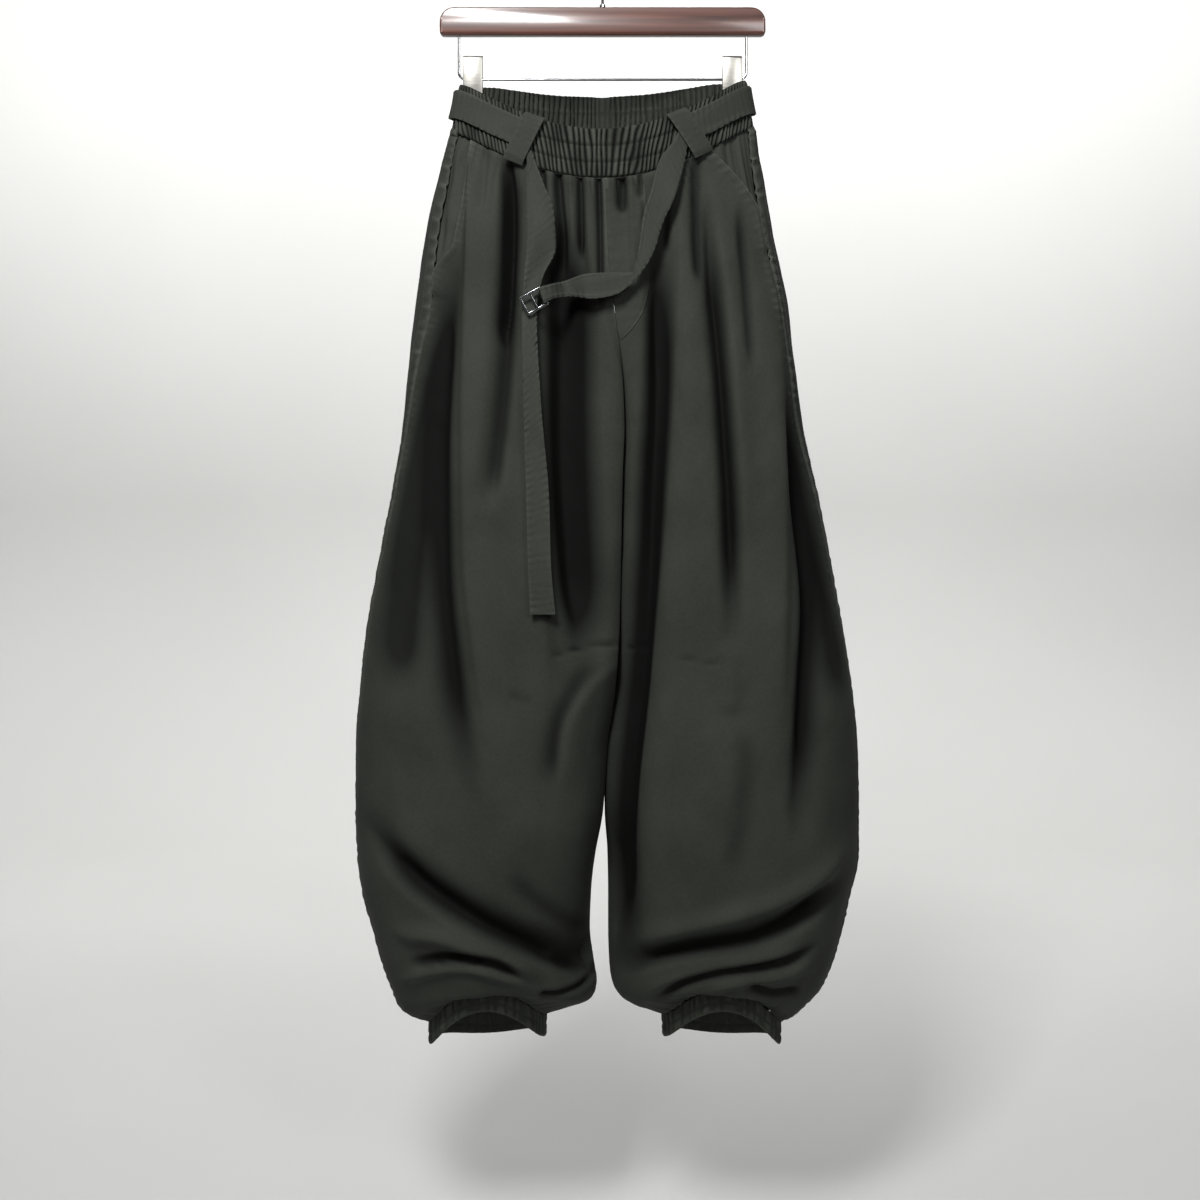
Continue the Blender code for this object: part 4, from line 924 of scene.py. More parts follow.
# %% [markdown]
# ## Pocket facings and fly
#
# Inside each pocket mouth lies a facing, the layer that shows when the mouth gapes. The fly is a
# false one: a flat layer stitched on the left front beside the centre seam. Both are panels' own
# points moved in or out, so they keep to the cloth they are sewn to.

# %% Pocket facings
FACING_GAP = 0.0023
FACING_COLUMNS = 40
FACING_ROWS = 110
FACING_WAVES = (0.0012, 0.020, 0.090)  # height, and length across and down
FACING_TUCK = 0.0022 * np.array([1.0, 0.6, 0.3])  # how far its first rows go up behind the band


def pocket_facing(side):
    """It starts under the back panel and reaches under the front one, with the same folds."""
    leg = LEG[side]
    row = section_rows(FACING_ROWS, 0.05, MOUTH_END[side])
    seam_u = section("seam", row)
    start = seam_u - 0.025
    stop = np.maximum(section(f"mouth_{leg}", row), seam_u) + 0.08
    u = start[:, None] + (stop - start)[:, None] * np.linspace(0, 1, FACING_COLUMNS)
    row = np.repeat(row[:, None], FACING_COLUMNS, 1)
    plain = plain_cloth(side, u, row)
    out = outward(cloth, side, u, row)
    height = folds(side, u, row, plain) + fine_folds(side, np.ones_like(u), plain)
    base = plain + height[..., None] * outward(plain_cloth, side, u, row)
    down, across = lengths(base, 0), lengths(base, 1)
    tall, wide, long = FACING_WAVES
    sunk = CLOTH + FACING_GAP - tall * undulation(across, down, 31 + side, wide, long)
    outer = base - sunk[..., None] * out
    outer[: len(FACING_TUCK), :, 2] += FACING_TUCK[:, None]
    where = WHERE[side]
    name = f"pocket_facing_{where}"
    made = cloth_piece(f"{name}_cloth", [name], outer, outer - 0.8 * CLOTH * out, PANEL_TWILL, 0.1)


for side in (-1, 1):
    pocket_facing(side)

# %% Fly
FLY_START, FLY_END = 0.4, 5.7  # sections
FLY_CLOTH = 0.0012
FLY_WIDTH = 0.043


def fly():
    panel_net = PANELS["front_panel_left"]
    rows = (panel_net["row"][:, 0] > FLY_START) & (panel_net["row"][:, 0] < FLY_END)
    points, inside = panel_net["points"][rows], panel_net["inside"][rows]
    down = panel_net["down"][rows]
    length = np.ptp(down[:, -1])
    part = (down[:, -1] - down[:, -1].min()) / length
    width = FLY_WIDTH * (1 - 0.9 * rise(part, 0.55, 0.45) ** 2)
    columns = 26
    outer = np.empty((len(points), columns, 3))
    fold = np.empty((len(points), columns))
    for i in range(len(points)):
        at = np.linspace(width[i], 0.0004, columns)
        # The fly takes the painted shade of the folds under it from the panel.
        fold[i] = np.interp(at, inside[i, ::-1], panel_net["fold"][rows][i, ::-1])
        outer[i] = resampled(at, inside[i, ::-1], points[i, ::-1])
    gap = width[:, None] * np.linspace(1, 0, columns)
    inner = outer - (0, 2 * SEAM_GAP, 0)
    run = np.cumsum(np.ones_like(gap), 0) * length / len(gap)
    height = FLY_CLOTH * 0.3 + 0.0002 * wander(run, 77, 0.012)
    from_edge = width[:, None] - gap
    height += seam_groove(from_edge - 0.0025, 0.0009, 0.0004)
    wear = 0.4 * bell(from_edge, 0.0015) * np.clip(width[:, None] / 0.02 - 0.4, 0, 1)
    made = cloth_piece(
        "fly_cloth", ["fly"], inner - np.stack([0 * height, height, 0 * height], -1), inner, PANEL_TWILL,
        wear, fold=fold,
    )


fly()

# %% [markdown]
# ## Gathered waistband
#
# Three elastics run inside the band, with a row of stitching between each two. The cloth round
# them is half as long again as the elastic, so it stands in tight upright pleats that run on over
# the stitching, which only nips them. A wave modifier would make every tube the same. Here a phase
# that wanders gives tubes of uneven width and height, and they lean so as to stay square to the
# band where it slants.

# %% Waistband
BAND_NET = (30, GATHERS * 9)
STITCH_ROWS = (0.34, 0.68)  # as a part of the band's height
PINCH = 0.0015  # half width of the pinched line, in metres
BAND_JOIN = 0.0095  # half width of the flat join at the centre back
TUBE_DEPTH = 0.0046  # from the top of a tube to the bottom of the groove beside it
TUBE_TOP = 0.0020  # from the band's middle surface
INNER_TUBE = 0.0010  # height of the tubes on the inner face
CLIP_X = 0.145
CLIP_REACH = 0.017  # the clips press the tubes flat to this distance


def pinched(down):
    """1 between the stitch rows and the edges, and small on them."""
    loose = np.ones_like(down)
    for line, deep in ((0.0, 0.3), (STITCH_ROWS[0], 0.36), (STITCH_ROWS[1], 0.36), (1.0, 0.4)):
        loose -= deep * bell((down - line) * BAND_HEIGHT, PINCH)
    return np.clip(loose, 0.08, 1)


def tubes(girth, down, count, seed, lean):
    """Height, from 0 to 1, of upright tubes of gathered cloth round a ring."""
    draw = np.random.default_rng(seed)
    turn = girth * math.tau
    phase = count * turn + lean
    for wave, size in ((3, 2.2), (7, 1.6), (13, 1.1), (29, 0.7)):
        phase = phase + size * np.sin(wave * turn + draw.uniform(0, math.tau))
    drift = 0.5 * np.sin(math.tau * 0.8 * down + 5 * np.sin(9 * turn)) + 0.3 * np.sin(17 * turn + 6 * down)
    tube = np.abs(np.cos((phase + drift) / 2)) ** 0.62
    uneven = 0.82 + 0.10 * np.sin(11 * turn + 4 * down) + 0.10 * np.sin(23 * turn - 3 * down + 1.0)
    return tube * uneven


def ring_grid(rows, columns):
    """How far round a ring and how far down it each point of a net is, from 0 to 1."""
    return np.meshgrid(np.arange(columns) / columns, np.linspace(0, 1, rows))


def waistband():
    girth, down = ring_grid(*BAND_NET)
    angle = np.broadcast_to(even_angles(BAND_NET[1]), down.shape)
    base = band_point(angle, down, 0.0)
    along = np.gradient(base, axis=1)
    step = np.linalg.norm(along, axis=-1)
    spacing = step * BAND_NET[1] / GATHERS
    lean = along[..., 2] / step * (down - 0.5) * BAND_HEIGHT / spacing * math.tau
    loose = pinched(down)
    at_back = bell(base[..., 0], BAND_JOIN, 4) * (base[..., 1] > 0)
    by_clip = bell(np.abs(base[..., 0]) - CLIP_X, CLIP_REACH, 4) * (base[..., 1] > -0.004)
    outside = tubes(girth, down, GATHERS, 5, lean) * loose
    inside = tubes(girth, down, GATHERS, 8, lean) * loose
    smooth = 1 - 0.85 * at_back
    wave = smooth * (1 - 0.6 * by_clip)
    out = TUBE_TOP - TUBE_DEPTH * (1 - outside) * wave
    in_ = out - BAND_CLOTH - INNER_TUBE * inside * wave
    dent = 0.0005 * bell(np.abs(base[..., 0]) - BAND_JOIN, 0.0008) * (base[..., 1] > 0)
    # Painted shade and highlight: fold darkens the grooves between the tubes as shade, and wear paints the
    # tube crests paler, partly as rubbing and partly as painted highlight.
    wear = 0.55 * np.clip(outside * 1.7 - 0.9, 0, 1) + 0.25 * bell(down, 0.03)
    made = cloth_piece(
        "waistband_cloth", ["waistband"], band_point(angle, down, out - dent), band_point(angle, down, in_),
        BAND_TWILL, wear, closed=True, fold=np.clip(1.35 - 1.85 * outside, 0, 0.95),
    )


waistband()

# %% [markdown]
# ## Gathered cuffs
#
# The leg is gathered into a short cuff, with one elastic and a row of stitching through its
# middle. It is made as the waistband is, round the ring in which the leg's section ends.

# %% Cuffs
CUFF_GATHERS = 38
CUFF_HEIGHT = 0.024
CUFF_SEAM = 0.0012
CUFF_NET = (18, CUFF_GATHERS * 12)
CUFF_TUBES = (0.0026, 0.0016)  # height on the outer face and on the inner one
CUFF_FACES = (-0.0012, -0.0020)  # where the two faces lie between the tubes
CUFF_TUCK = 0.0024  # how far the inner face goes up behind the foot of the leg


def cuff(side):
    girth, down = ring_grid(*CUFF_NET)
    ring = plain_cloth(side, 2 * girth[0] - 1, LAST_SECTION)
    spread = unit((ring - ring.mean(0)) * (1, 1, 0))
    loose = 1 - 0.5 * bell((down - 0.55) * CUFF_HEIGHT, 0.0018)
    loose *= 1 - 0.55 * bell((1 - down) * CUFF_HEIGHT, 0.0016)
    place = ring - (CUFF_SEAM + CUFF_HEIGHT * down)[..., None] * (0, 0, 1)
    outside = tubes(girth, down, CUFF_GATHERS, 21 + side, 0) * loose
    inside = tubes(girth, down, CUFF_GATHERS, 25 + side, 0) * loose
    outer = place + spread * (CUFF_FACES[0] + CUFF_TUBES[0] * outside)[..., None]
    inner = place + spread * (CUFF_FACES[1] - CUFF_TUBES[1] * inside)[..., None]
    inner[0] += (0, 0, CUFF_TUCK)
    wear = 0.55 * np.clip(outside * 1.3 - 0.7, 0, 1) + 0.3 * bell(1 - down, 0.06)
    where = WHERE[side]
    made = cloth_piece(
        f"cuff_{where}_cloth", [f"cuff_{where}"], outer, inner, BAND_TWILL, wear, closed=True
    )


for side in (-1, 1):
    cuff(side)

# %% [markdown]
# ## Belt
#
# The belt is one flat strap of folded twill, 31 mm wide, stitched along both edges. It goes round
# the band through the loops; its free end hangs at the wearer's right, and the other end hangs in
# a curve to the slider. A curve with a bevel could make it, but this strap turns its flat face
# along the way, so it is built between its two edges, whose places are in these tables.

# %% Where the belt lies
BELT_WIDTH = 0.031
BELT_CLOTH = 0.0016
BELT_OVER_CLIP = 0.0020

# The belt: one strap whose edges run from its free end up through the right loop, round the back,
# through the left loop and down to the buckle. x and z of both edges where it hangs in front.
RIGHT_TAIL = read_table("""
   z  left_x  right_x  off
-742   -76.2      -50    6
-690   -78.5    -54.5    6
-622   -80.5    -56.5    6
-515     -84    -65.5    7
-420     -86      -70    8
-385     -84      -64    9
-350     -81      -50   12
-312   -81.5    -52.5   13
-280     -82      -64   10
-252     -82      -74    1
""", 1000)
LEFT_TAIL = read_table("""
upper_x  upper_z  lower_x  lower_z  off
     79     -229       90     -250    2
     61     -256       86     -268    6
     52     -290       77     -298   14
     43     -320       65     -324   14
     39     -350       54     -358   14
     30     -380       36     -386   13
      8     -380       13     -404   13
    -16     -381      -12     -408   14
    -40     -387      -34     -404   15
    -56     -393      -50     -407   23
    -68     -397      -62     -414   23
""", 1000)
BUCKLE_SIZE = (0.0260, 0.0022, 0.0215)
BUCKLE_RAIL = 0.0027
BUCKLE_TURN = math.radians(-29)
BELT_TURN = 0.63  # the belt follows the band to here, as a part of each half of its front
BELT_DOWN = 0.12  # its upper edge, as a part of the band's height
START_ROWS, BAND_ROWS, END_ROWS = 160, 240, 120  # points along the strap's three stretches
NEAR = 0.011  # how far round a point of the strap the cloth is looked for


def forward_points():
    """Points of the front of the trousers and of the band, just outside the cloth."""
    row, u = np.meshgrid(np.linspace(0, 14, 140), np.linspace(0.1, 1, 60), indexing="ij")
    angle, down = np.meshgrid(np.linspace(0.2, math.pi - 0.2, 90), np.linspace(0, 1, 12), indexing="ij")
    nets = [moved_out(side, u, row, CLOTH) for side in (-1, 1)]
    nets.append(band_point(angle, down, GATHER_HEIGHT))
    return np.concatenate([net.reshape(-1, 3) for net in nets])


def in_front(cloth_points, x, z, clearance):
    """Points at x and z, each as far in front of the nearest cloth as its clearance."""
    reach = []
    for px, pz, off in zip(x, z, clearance):
        near = np.hypot(cloth_points[:, 0] - px, cloth_points[:, 2] - pz) < NEAR
        reach.append(cloth_points[near, 1].min() - off)
    return np.stack([x, reach, z], -1)


def smooth_line(points, count):
    points = np.asarray(points, float)
    length = np.concatenate([[0], np.cumsum(np.linalg.norm(np.diff(points, axis=0), axis=1))])
    at = np.linspace(0, length[-1], count)
    return np.stack([through(length, points[:, i], at) for i in range(3)], -1)


def joined(start, middle, end):
    """One edge of the belt: the free end, the stretch on the band and the buckle end."""
    first = smooth_line(np.concatenate([start, middle[:1]]), START_ROWS)
    last = smooth_line(np.concatenate([middle[-1:], end]), END_ROWS)
    return np.concatenate([first[:-1], middle, last[1:]])


# %% Belt
BELT_ACROSS = 17  # points across a strap
BELT_STEP, LOOP_STEP = 0.0022, 0.0016  # and between two of its rows
BELT_PUCKER, LOOP_PUCKER = 0.0019, 0.0006
STRAP_SEAM = 0.0028  # the stitching's distance from a strap's edge
STRAPS = []  # both nets of each strap, for the stitching


def belt_edges():
    cloth_points = forward_points()
    z, left_x, right_x, off = RIGHT_TAIL.values()
    tail_left = in_front(cloth_points, left_x, z, off)
    tail_right = in_front(cloth_points, right_x, z, off)
    angles = np.linspace(math.pi * (1 - 0.5 * BELT_TURN), math.pi * (2 + 0.5 * BELT_TURN), BAND_ROWS)
    from_clip = np.abs(band_point(angles, 0.0, 0.0)[:, 0]) - CLIP_X
    over_clip = bell(from_clip, 0.020, 4) * (np.sin(angles) < 0)
    out = GATHER_HEIGHT + 3 * SEAM_GAP + BELT_CLOTH / 2 + BELT_OVER_CLIP * over_clip
    lower = band_point(angles, BELT_DOWN + BELT_WIDTH / BAND_HEIGHT, out)
    upper = band_point(angles, BELT_DOWN, out)
    upper_x, upper_z, lower_x, lower_z, off = LEFT_TAIL.values()
    end_upper = in_front(cloth_points, upper_x, upper_z, off)
    end_lower = in_front(cloth_points, lower_x, lower_z, off)
    return joined(tail_left, lower, end_lower), joined(tail_right, upper, end_upper)


def evenly(left, right, step):
    """Both edges resampled together, so that the net's rows are one step apart."""
    middle = (left + right) / 2
    length = lengths(middle, 0)
    at = np.linspace(0, length[-1], int(length[-1] / step))
    return [resampled(at, length, edge) for edge in (left, right)], at


def strap(left, right, at, seed, pucker, thickness):
    """A stitched strap: nets of both faces, with puckers that start at its stitched edges."""
    across = np.linspace(0, 1, BELT_ACROSS)
    middle = (left + right) / 2
    along = unit(np.gradient(middle, axis=0))
    face = unit(np.cross(along, right - left))
    net = left[:, None] + (right - left)[:, None] * across[None, :, None]
    width = np.linalg.norm(right - left, axis=-1)[:, None]
    to_edge = np.minimum(across, 1 - across)[None] * width
    side = np.where(across < 0.5, 0, 1)
    ripple = np.stack([wander(at, seed + k, 0.0058) for k in (0, 1)])[side].T
    cross = wander(at, seed + 3, 0.0075)[:, None] * np.ones_like(to_edge)
    height = pucker * (0.55 * ripple * bell(to_edge, 0.0075) + 0.16 * cross)
    height += seam_groove(to_edge - STRAP_SEAM, 0.0010, 0.0005)
    body = thickness / 2 * np.clip(0.55 + to_edge / 0.004, 0, 1)
    outer = net + face[:, None] * (body + height)[..., None]
    inner = net - face[:, None] * (body - 0.6 * height)[..., None]
    STRAPS.append((outer, inner))
    wear = 0.45 * bell(to_edge, 0.0015) + 0.28 * np.clip(ripple, 0, 1) * bell(to_edge, 0.006)
    return outer, inner, np.clip(wear + 0.05, 0, 1)


BELT_LEFT, BELT_RIGHT = belt_edges()
(belt_left, belt_right), belt_at = evenly(BELT_LEFT, BELT_RIGHT, BELT_STEP)
belt_outer, belt_inner, belt_wear = strap(belt_left, belt_right, belt_at, 41, BELT_PUCKER, BELT_CLOTH)
made = cloth_piece("belt_cloth", ["belt"], belt_outer, belt_inner, TRIM_TWILL, belt_wear)
print("belt length:", round(float(belt_at[-1]), 3))

# %% [markdown]
# ## Belt loops
#
# Four wide loops of the same folded twill hold the belt. Each is caught into the band's two edges
# and stands over the strap, so its profile rises quickly, runs flat and turns in again.

# %% Belt loops
LOOPS = {  # side, place round the band as u, and lean
    "front_right": (-1, 0.658, 0.120),
    "front_left": (1, 0.615, 0.165),
    "back_right": (-1, -0.560, 0.0),
    "back_left": (1, -0.560, 0.0),
}
LOOP_HALF_TURN = 0.075
LOOP_PROFILE = (  # part of the band's height, and distance from its middle surface
    (-0.02, 0.0026), (0.04, 0.0058), (0.30, 0.0070), (0.62, 0.0074), (0.94, 0.0072), (1.06, 0.0050),
)


def belt_loop(place, side, u, lean, seed):
    angle = math.pi / 2 * (1 - side * (1 - abs(u)))
    angle = angle if u > 0 else -angle
    steps = np.linspace(0, len(LOOP_PROFILE) - 1, 46)
    down, out = (np.interp(steps, range(len(LOOP_PROFILE)), column) for column in zip(*LOOP_PROFILE))
    edges = []
    for turn in (angle - LOOP_HALF_TURN, angle + LOOP_HALF_TURN):
        edges.append(band_point(turn + side * lean * (0.5 - down), down, out + BELT_CLOTH / 2))
    (left, right), at = evenly(*edges, LOOP_STEP)
    outer, inner, wear = strap(left, right, at, seed, LOOP_PUCKER, BELT_CLOTH)
    name = f"belt_loop_{place}"
    made = cloth_piece(f"{name}_cloth", [name], outer, inner, TRIM_TWILL, wear)


for seed, (place, (side, u, lean)) in enumerate(LOOPS.items()):
    belt_loop(place, side, u, lean, 60 + 7 * seed)

# %% [markdown]
# ## Stitching
#
# The seams are sewn with a thread of the cloth's own colour, about three stitches to a centimetre.
# A bump map could hint at them, but a real stitch stands up and throws a shadow, so each is a small
# mesh of eight faces, laid along a line that keeps its distance from an edge of the cloth.

# %% Thread
STITCH_PITCH = 0.0034
STITCH = (0.0024, 0.00055, 0.0004)  # length, width and height
FIRST_STITCH = 0.1  # the section at which the side seam's stitching starts


def thread_material():
    """Matt cotton thread, a shade paler than the cloth because it stands proud and is rubbed."""
    made, tree, shader = new_material("cotton thread", {"Roughness": 0.8, "Specular IOR Level": 0.25})
    place = add_node(tree, "TexCoord")
    noise = add_node(tree, "TexNoise", {"Scale": 160.0}, {"Vector": place.outputs["Object"]})
    mix = add_node(
        tree, "Mix", {"data_type": "RGBA", 6: colour("#31332f"), 7: colour("#5a5c55")},
        {0: noise.outputs["Fac"]},
    )
    tree.links.new(mix.outputs[2], shader.inputs["Base Color"])
    return made


THREAD = thread_material()


def stitches(lines):
    """Points and faces of stitches along lines; each line is its points and its normals."""
    points, faces = [], []
    length, width, height = STITCH
    shape = ((-length, 0, 0), (length, 0, 0), (0, -width, 0), (0, width, 0), (0, 0, -height), (0, 0, height))
    around = ((2, 5), (5, 3), (3, 4), (4, 2))
    for line, normals in lines:
        run = lengths(line, 0)
        at = np.arange(STITCH_PITCH, run[-1] - STITCH_PITCH / 2, STITCH_PITCH)
        middle = resampled(at, run, line)
        way = unit(resampled(at, run, np.gradient(line, axis=0)))
        up = unit(resampled(at, run, normals))
        side = np.cross(way, up)
        for centre, w, s, n in zip(middle, way, side, up):
            start = len(points)
            points += [centre + w * x / 2 + s * y / 2 + n * (z + height / 2) for x, y, z in shape]
            faces += [(start, start + a, start + b) for a, b in around]
            faces += [(start + 1, start + b, start + a) for a, b in around]
    return points, faces


def stitching(name, lines):
    points, faces = stitches(lines)
    mesh = bpy.data.meshes.new(name)
    mesh.from_pydata([tuple(p) for p in points], [], faces)
    mesh.materials.append(THREAD)
    hand_over(new_object(name, mesh))
    print(name, "stitches:", len(faces) // 8)


def line_beside(name, distance, last):
    """Points and normals of a line on a panel that keeps its distance from the outer edge."""
    net = PANELS[name]
    rows = (net["row"][:, 0] >= FIRST_STITCH) & (net["row"][:, 0] <= last)
    points, normals, gap = net["points"][rows], net["normal"][rows], net["outside"][rows]
    order = slice(None, None, 1 if gap[0, 0] < gap[0, -1] else -1)
    return tuple(
        np.array([resampled([distance], gap[i, order], values[i, order])[0] for i in range(len(values))])
        for values in (points, normals)
    )


def strap_lines(outer, inner):
    """Lines near both edges of a strap, on its outer face."""
    part = STRAP_SEAM / BELT_WIDTH * (BELT_ACROSS - 1)
    here, rest = int(part), part % 1
    for net, under in ((outer, inner), (outer[:, ::-1], inner[:, ::-1])):
        line = net[:, here] * (1 - rest) + net[:, here + 1] * rest
        yield line, line - under[:, here]


stitching("strap_stitching", [line for nets in STRAPS for line in strap_lines(*nets)])
for side, where in WHERE.items():
    stitching(
        f"seam_stitching_{where}",
        [
            *[line_beside(f"front_panel_{where}", line, MOUTH_END[side]) for line in MOUTH_SEAMS],
            *[line_beside(f"back_panel_{where}", line, LAST_SECTION - 0.2) for line in FELL_SEAMS],
        ],
    )

# %% [markdown]
# ## The hanger's bar
#
# The bar is a flat strip of hardwood with its upper corners cut round, stained mahogany and gloss
# varnished. It starts as a cube at its real size; the corners and then all the long edges are
# bevelled, as a spindle moulder would round them. The lower edges get the larger round.

# %% Finishes of the hanger
def mahogany():
    """Beech or similar with mahogany stain under varnish: red-brown, dark pores, glossy."""
    made, tree, shader = new_material(
        "stained and varnished hardwood",
        {"Roughness": 0.42, "Coat Weight": 0.7, "Coat Roughness": 0.16, "Specular IOR Level": 0.5},
    )
    place = add_node(tree, "TexCoord")
    drawn = add_node(tree, "Mapping", {"Scale": (7, 60, 170)}, {"Vector": place.outputs["Object"]})
    grain = add_node(
        tree, "TexNoise", {"Scale": 1.0, "Detail": 5.0, "Distortion": 0.4},
        {"Vector": drawn.outputs[0]},
    )
    ramp = add_node(tree, "ValToRGB", {}, {"Fac": grain.outputs["Fac"]})
    for stop, position, code in zip(ramp.color_ramp.elements, (0.30, 0.72), ("#361a13", "#63382a")):
        stop.position, stop.color = position, colour(code)
    tree.links.new(ramp.outputs["Color"], shader.inputs["Base Color"])
    bump = add_node(tree, "Bump", {"Strength": 0.08, "Distance": 0.0004}, {"Height": grain.outputs["Fac"]})
    tree.links.new(bump.outputs[0], shader.inputs["Normal"])
    return made


def plated(name, tint, roughness, brushed):
    """Plated steel. Handling leaves it a little uneven, which breaks up its reflections."""
    made, tree, shader = new_material(name, {"Metallic": 1.0})
    place = add_node(tree, "TexCoord")
    drawn = add_node(tree, "Mapping", {"Scale": brushed}, {"Vector": place.outputs["Object"]})
    noise = add_node(tree, "TexNoise", {"Scale": 1.0, "Detail": 3.0}, {"Vector": drawn.outputs[0]})
    rough = add_node(
        tree, "MapRange", {"To Min": roughness * 0.7, "To Max": roughness * 1.3},
        {"Value": noise.outputs["Fac"]},
    )
    tone = add_node(
        tree, "Mix", {"data_type": "RGBA", 6: colour(tint[0]), 7: colour(tint[1])},
        {0: noise.outputs["Fac"]},
    )
    tree.links.new(rough.outputs[0], shader.inputs["Roughness"])
    tree.links.new(tone.outputs[2], shader.inputs["Base Color"])
    return made


WOOD = mahogany()
CHROME = plated("chromium-plated wire", ("#c9cbcd", "#e2e3e5"), 0.16, (300, 300, 300))
NICKEL = plated("satin nickel-plated steel", ("#9c9a94", "#b4b2ac"), 0.34, (60, 60, 900))
BUCKLE_PLATE = plated("polished nickel-plated zinc", ("#77787a", "#98999a"), 0.20, (300, 300, 300))
BLACK = plated("blackened steel", ("#2a2a2b", "#3b3a39"), 0.34, (300, 300, 300))

# %% Modelling helpers
def start_piece(add, **options):
    """Adds one primitive with nothing else selected, and returns its object."""
    bpy.ops.object.select_all(action="DESELECT")
    add(**options)
    return bpy.context.active_object


def editing(kind="EDGE"):
    bpy.ops.object.mode_set(mode="EDIT")
    bpy.ops.mesh.select_mode(type=kind)
    bpy.ops.mesh.select_all(action="DESELECT")
    return bmesh.from_edit_mesh(bpy.context.active_object.data)


def pick(mesh, elements, chosen):
    """Selects the edges or faces that chosen accepts, flushing the choice to the mesh."""
    for element in elements:
        element.select = bool(chosen(element))
    mesh.select_flush_mode()
    bmesh.update_edit_mesh(bpy.context.active_object.data)


def thicken(piece, thickness, offset, radius, segments):
    """Gives a sheet its thickness, on one side or evenly, and rounds its edges."""
    thick = piece.modifiers.new("thickness", "SOLIDIFY")
    thick.thickness = thickness
    thick.offset = offset
    round_off = piece.modifiers.new("edges", "BEVEL")
    round_off.width = radius
    round_off.segments = segments
    round_off.limit_method = "ANGLE"
    for modifier in ("thickness", "edges"):
        bpy.ops.object.modifier_apply(modifier=modifier)


def finish_piece(piece, name, nodes, finish, angle=40):
    """Puts the place into the mesh, points the faces outwards and hands the piece to the frame."""
    bpy.ops.object.mode_set(mode="OBJECT")
    bpy.ops.object.transform_apply(location=True, rotation=True, scale=True)
    bpy.ops.object.mode_set(mode="EDIT")
    bpy.ops.mesh.select_all(action="SELECT")
    bpy.ops.mesh.remove_doubles(threshold=0.00001)
    bpy.ops.mesh.normals_make_consistent(inside=False)
    bpy.ops.object.mode_set(mode="OBJECT")
    bpy.ops.object.shade_smooth_by_angle(angle=math.radians(angle))
    piece.name = piece.data.name = name
    piece.data.materials.clear()
    piece.data.materials.append(finish)
    hand_over(piece, nodes)
    low, high = ([round(c, 4) for c in corner] for corner in (piece.bound_box[0], piece.bound_box[6]))
    print(name, "faces:", len(piece.data.polygons), "box:", low, high)


# %% Bar
BAR_SIZE = (0.364, 0.014, 0.0315)
BAR_TOP = -0.0725
BAR_CORNERS = {1: 0.016, -1: 0.005}  # radius of the upper and the lower corners
BAR_ROUND = {1: 0.0022, -1: 0.0040}


def hanger_bar():
    width, depth, height = BAR_SIZE
    piece = start_piece(
        bpy.ops.mesh.primitive_cube_add, size=1, location=(0, 0, BAR_TOP - height / 2), scale=BAR_SIZE
    )
    bpy.ops.object.transform_apply(location=False, rotation=False, scale=True)
    for end, radius in BAR_CORNERS.items():
        mesh = editing()
        pick(
            mesh, mesh.edges,
            lambda e: abs(e.verts[0].co.y - e.verts[1].co.y) > depth / 2 and e.verts[0].co.z * end > 0,
        )
        bpy.ops.mesh.bevel(offset=radius, segments=9, profile=0.5)
        bpy.ops.object.mode_set(mode="OBJECT")
    for end, radius in BAR_ROUND.items():
        mesh = editing()
        pick(
            mesh, mesh.edges,
            lambda e: abs(e.verts[0].co.y) > 0.45 * depth
            and abs(e.verts[0].co.y - e.verts[1].co.y) < 0.0001
            and len(e.link_faces) == 2
            and e.calc_face_angle(0) > 1.2
            and (sum(v.co.z for v in e.verts) / 2 < -0.4 * height) == (end < 0),
        )
        bpy.ops.mesh.bevel(offset=radius, segments=4, profile=0.5)
        bpy.ops.object.mode_set(mode="OBJECT")
    finish_piece(piece, "hanger_bar_wood", ["hanger_bar"], WOOD)


hanger_bar()

# %% [markdown]
# ## Hook and wire
#
# Both are bent from 3 mm round wire. A wire can be a curve with a round bevel. Here a ring of the
# wire's section is drawn along instead, extruded where the wire is straight and spun where it
# bends, which is how a bending machine works and gives the exact radii.

# %% Bent wire
WIRE = 0.003
HOOK_RADIUS = 0.019
STEM_BEND = 0.037  # radius of the gentle bend from the stem into the hook
HOOK_TURN = 265
STEM_TURN = 50
FERRULE_RADIUS, FERRULE_HEIGHT, FERRULE_LIP = 0.0034, 0.0032, 0.0009


def wire_start(place, turn):
    piece = start_piece(
        bpy.ops.mesh.primitive_circle_add, vertices=16, radius=WIRE / 2, fill_type="NGON", location=place,
        rotation=turn,
    )
    bpy.ops.object.transform_apply(location=True, rotation=True, scale=True)
    bpy.ops.object.mode_set(mode="EDIT")
    bpy.ops.mesh.select_mode(type="FACE")
    bpy.ops.mesh.select_all(action="SELECT")
    return piece


def run(move):
    bpy.ops.mesh.extrude_region_move(TRANSFORM_OT_translate={"value": move})


def bend(angle, centre, steps):
    """Spins what is selected. The operator turns clockwise as seen along the axis."""
    bpy.ops.mesh.spin(steps=steps, angle=-math.radians(angle), center=centre, axis=(0, 1, 0))


def hanger_hook():
    piece = wire_start((0, 0, BAR_TOP + SEAM_GAP), (0, 0, 0))
    stem_end = -HOOK_RADIUS - (HOOK_RADIUS + WIRE / 2) * math.sin(math.radians(STEM_TURN))
    stem_end -= STEM_BEND * math.sin(math.radians(STEM_TURN))
    run((0, 0, stem_end - BAR_TOP - SEAM_GAP))
    bend(STEM_TURN, (STEM_BEND, 0, stem_end), 8)
    bend(-HOOK_TURN, (0, 0, -HOOK_RADIUS), 40)
    finish_piece(piece, "hanger_hook_steel", ["hanger_hook"], BLACK)


hanger_hook()


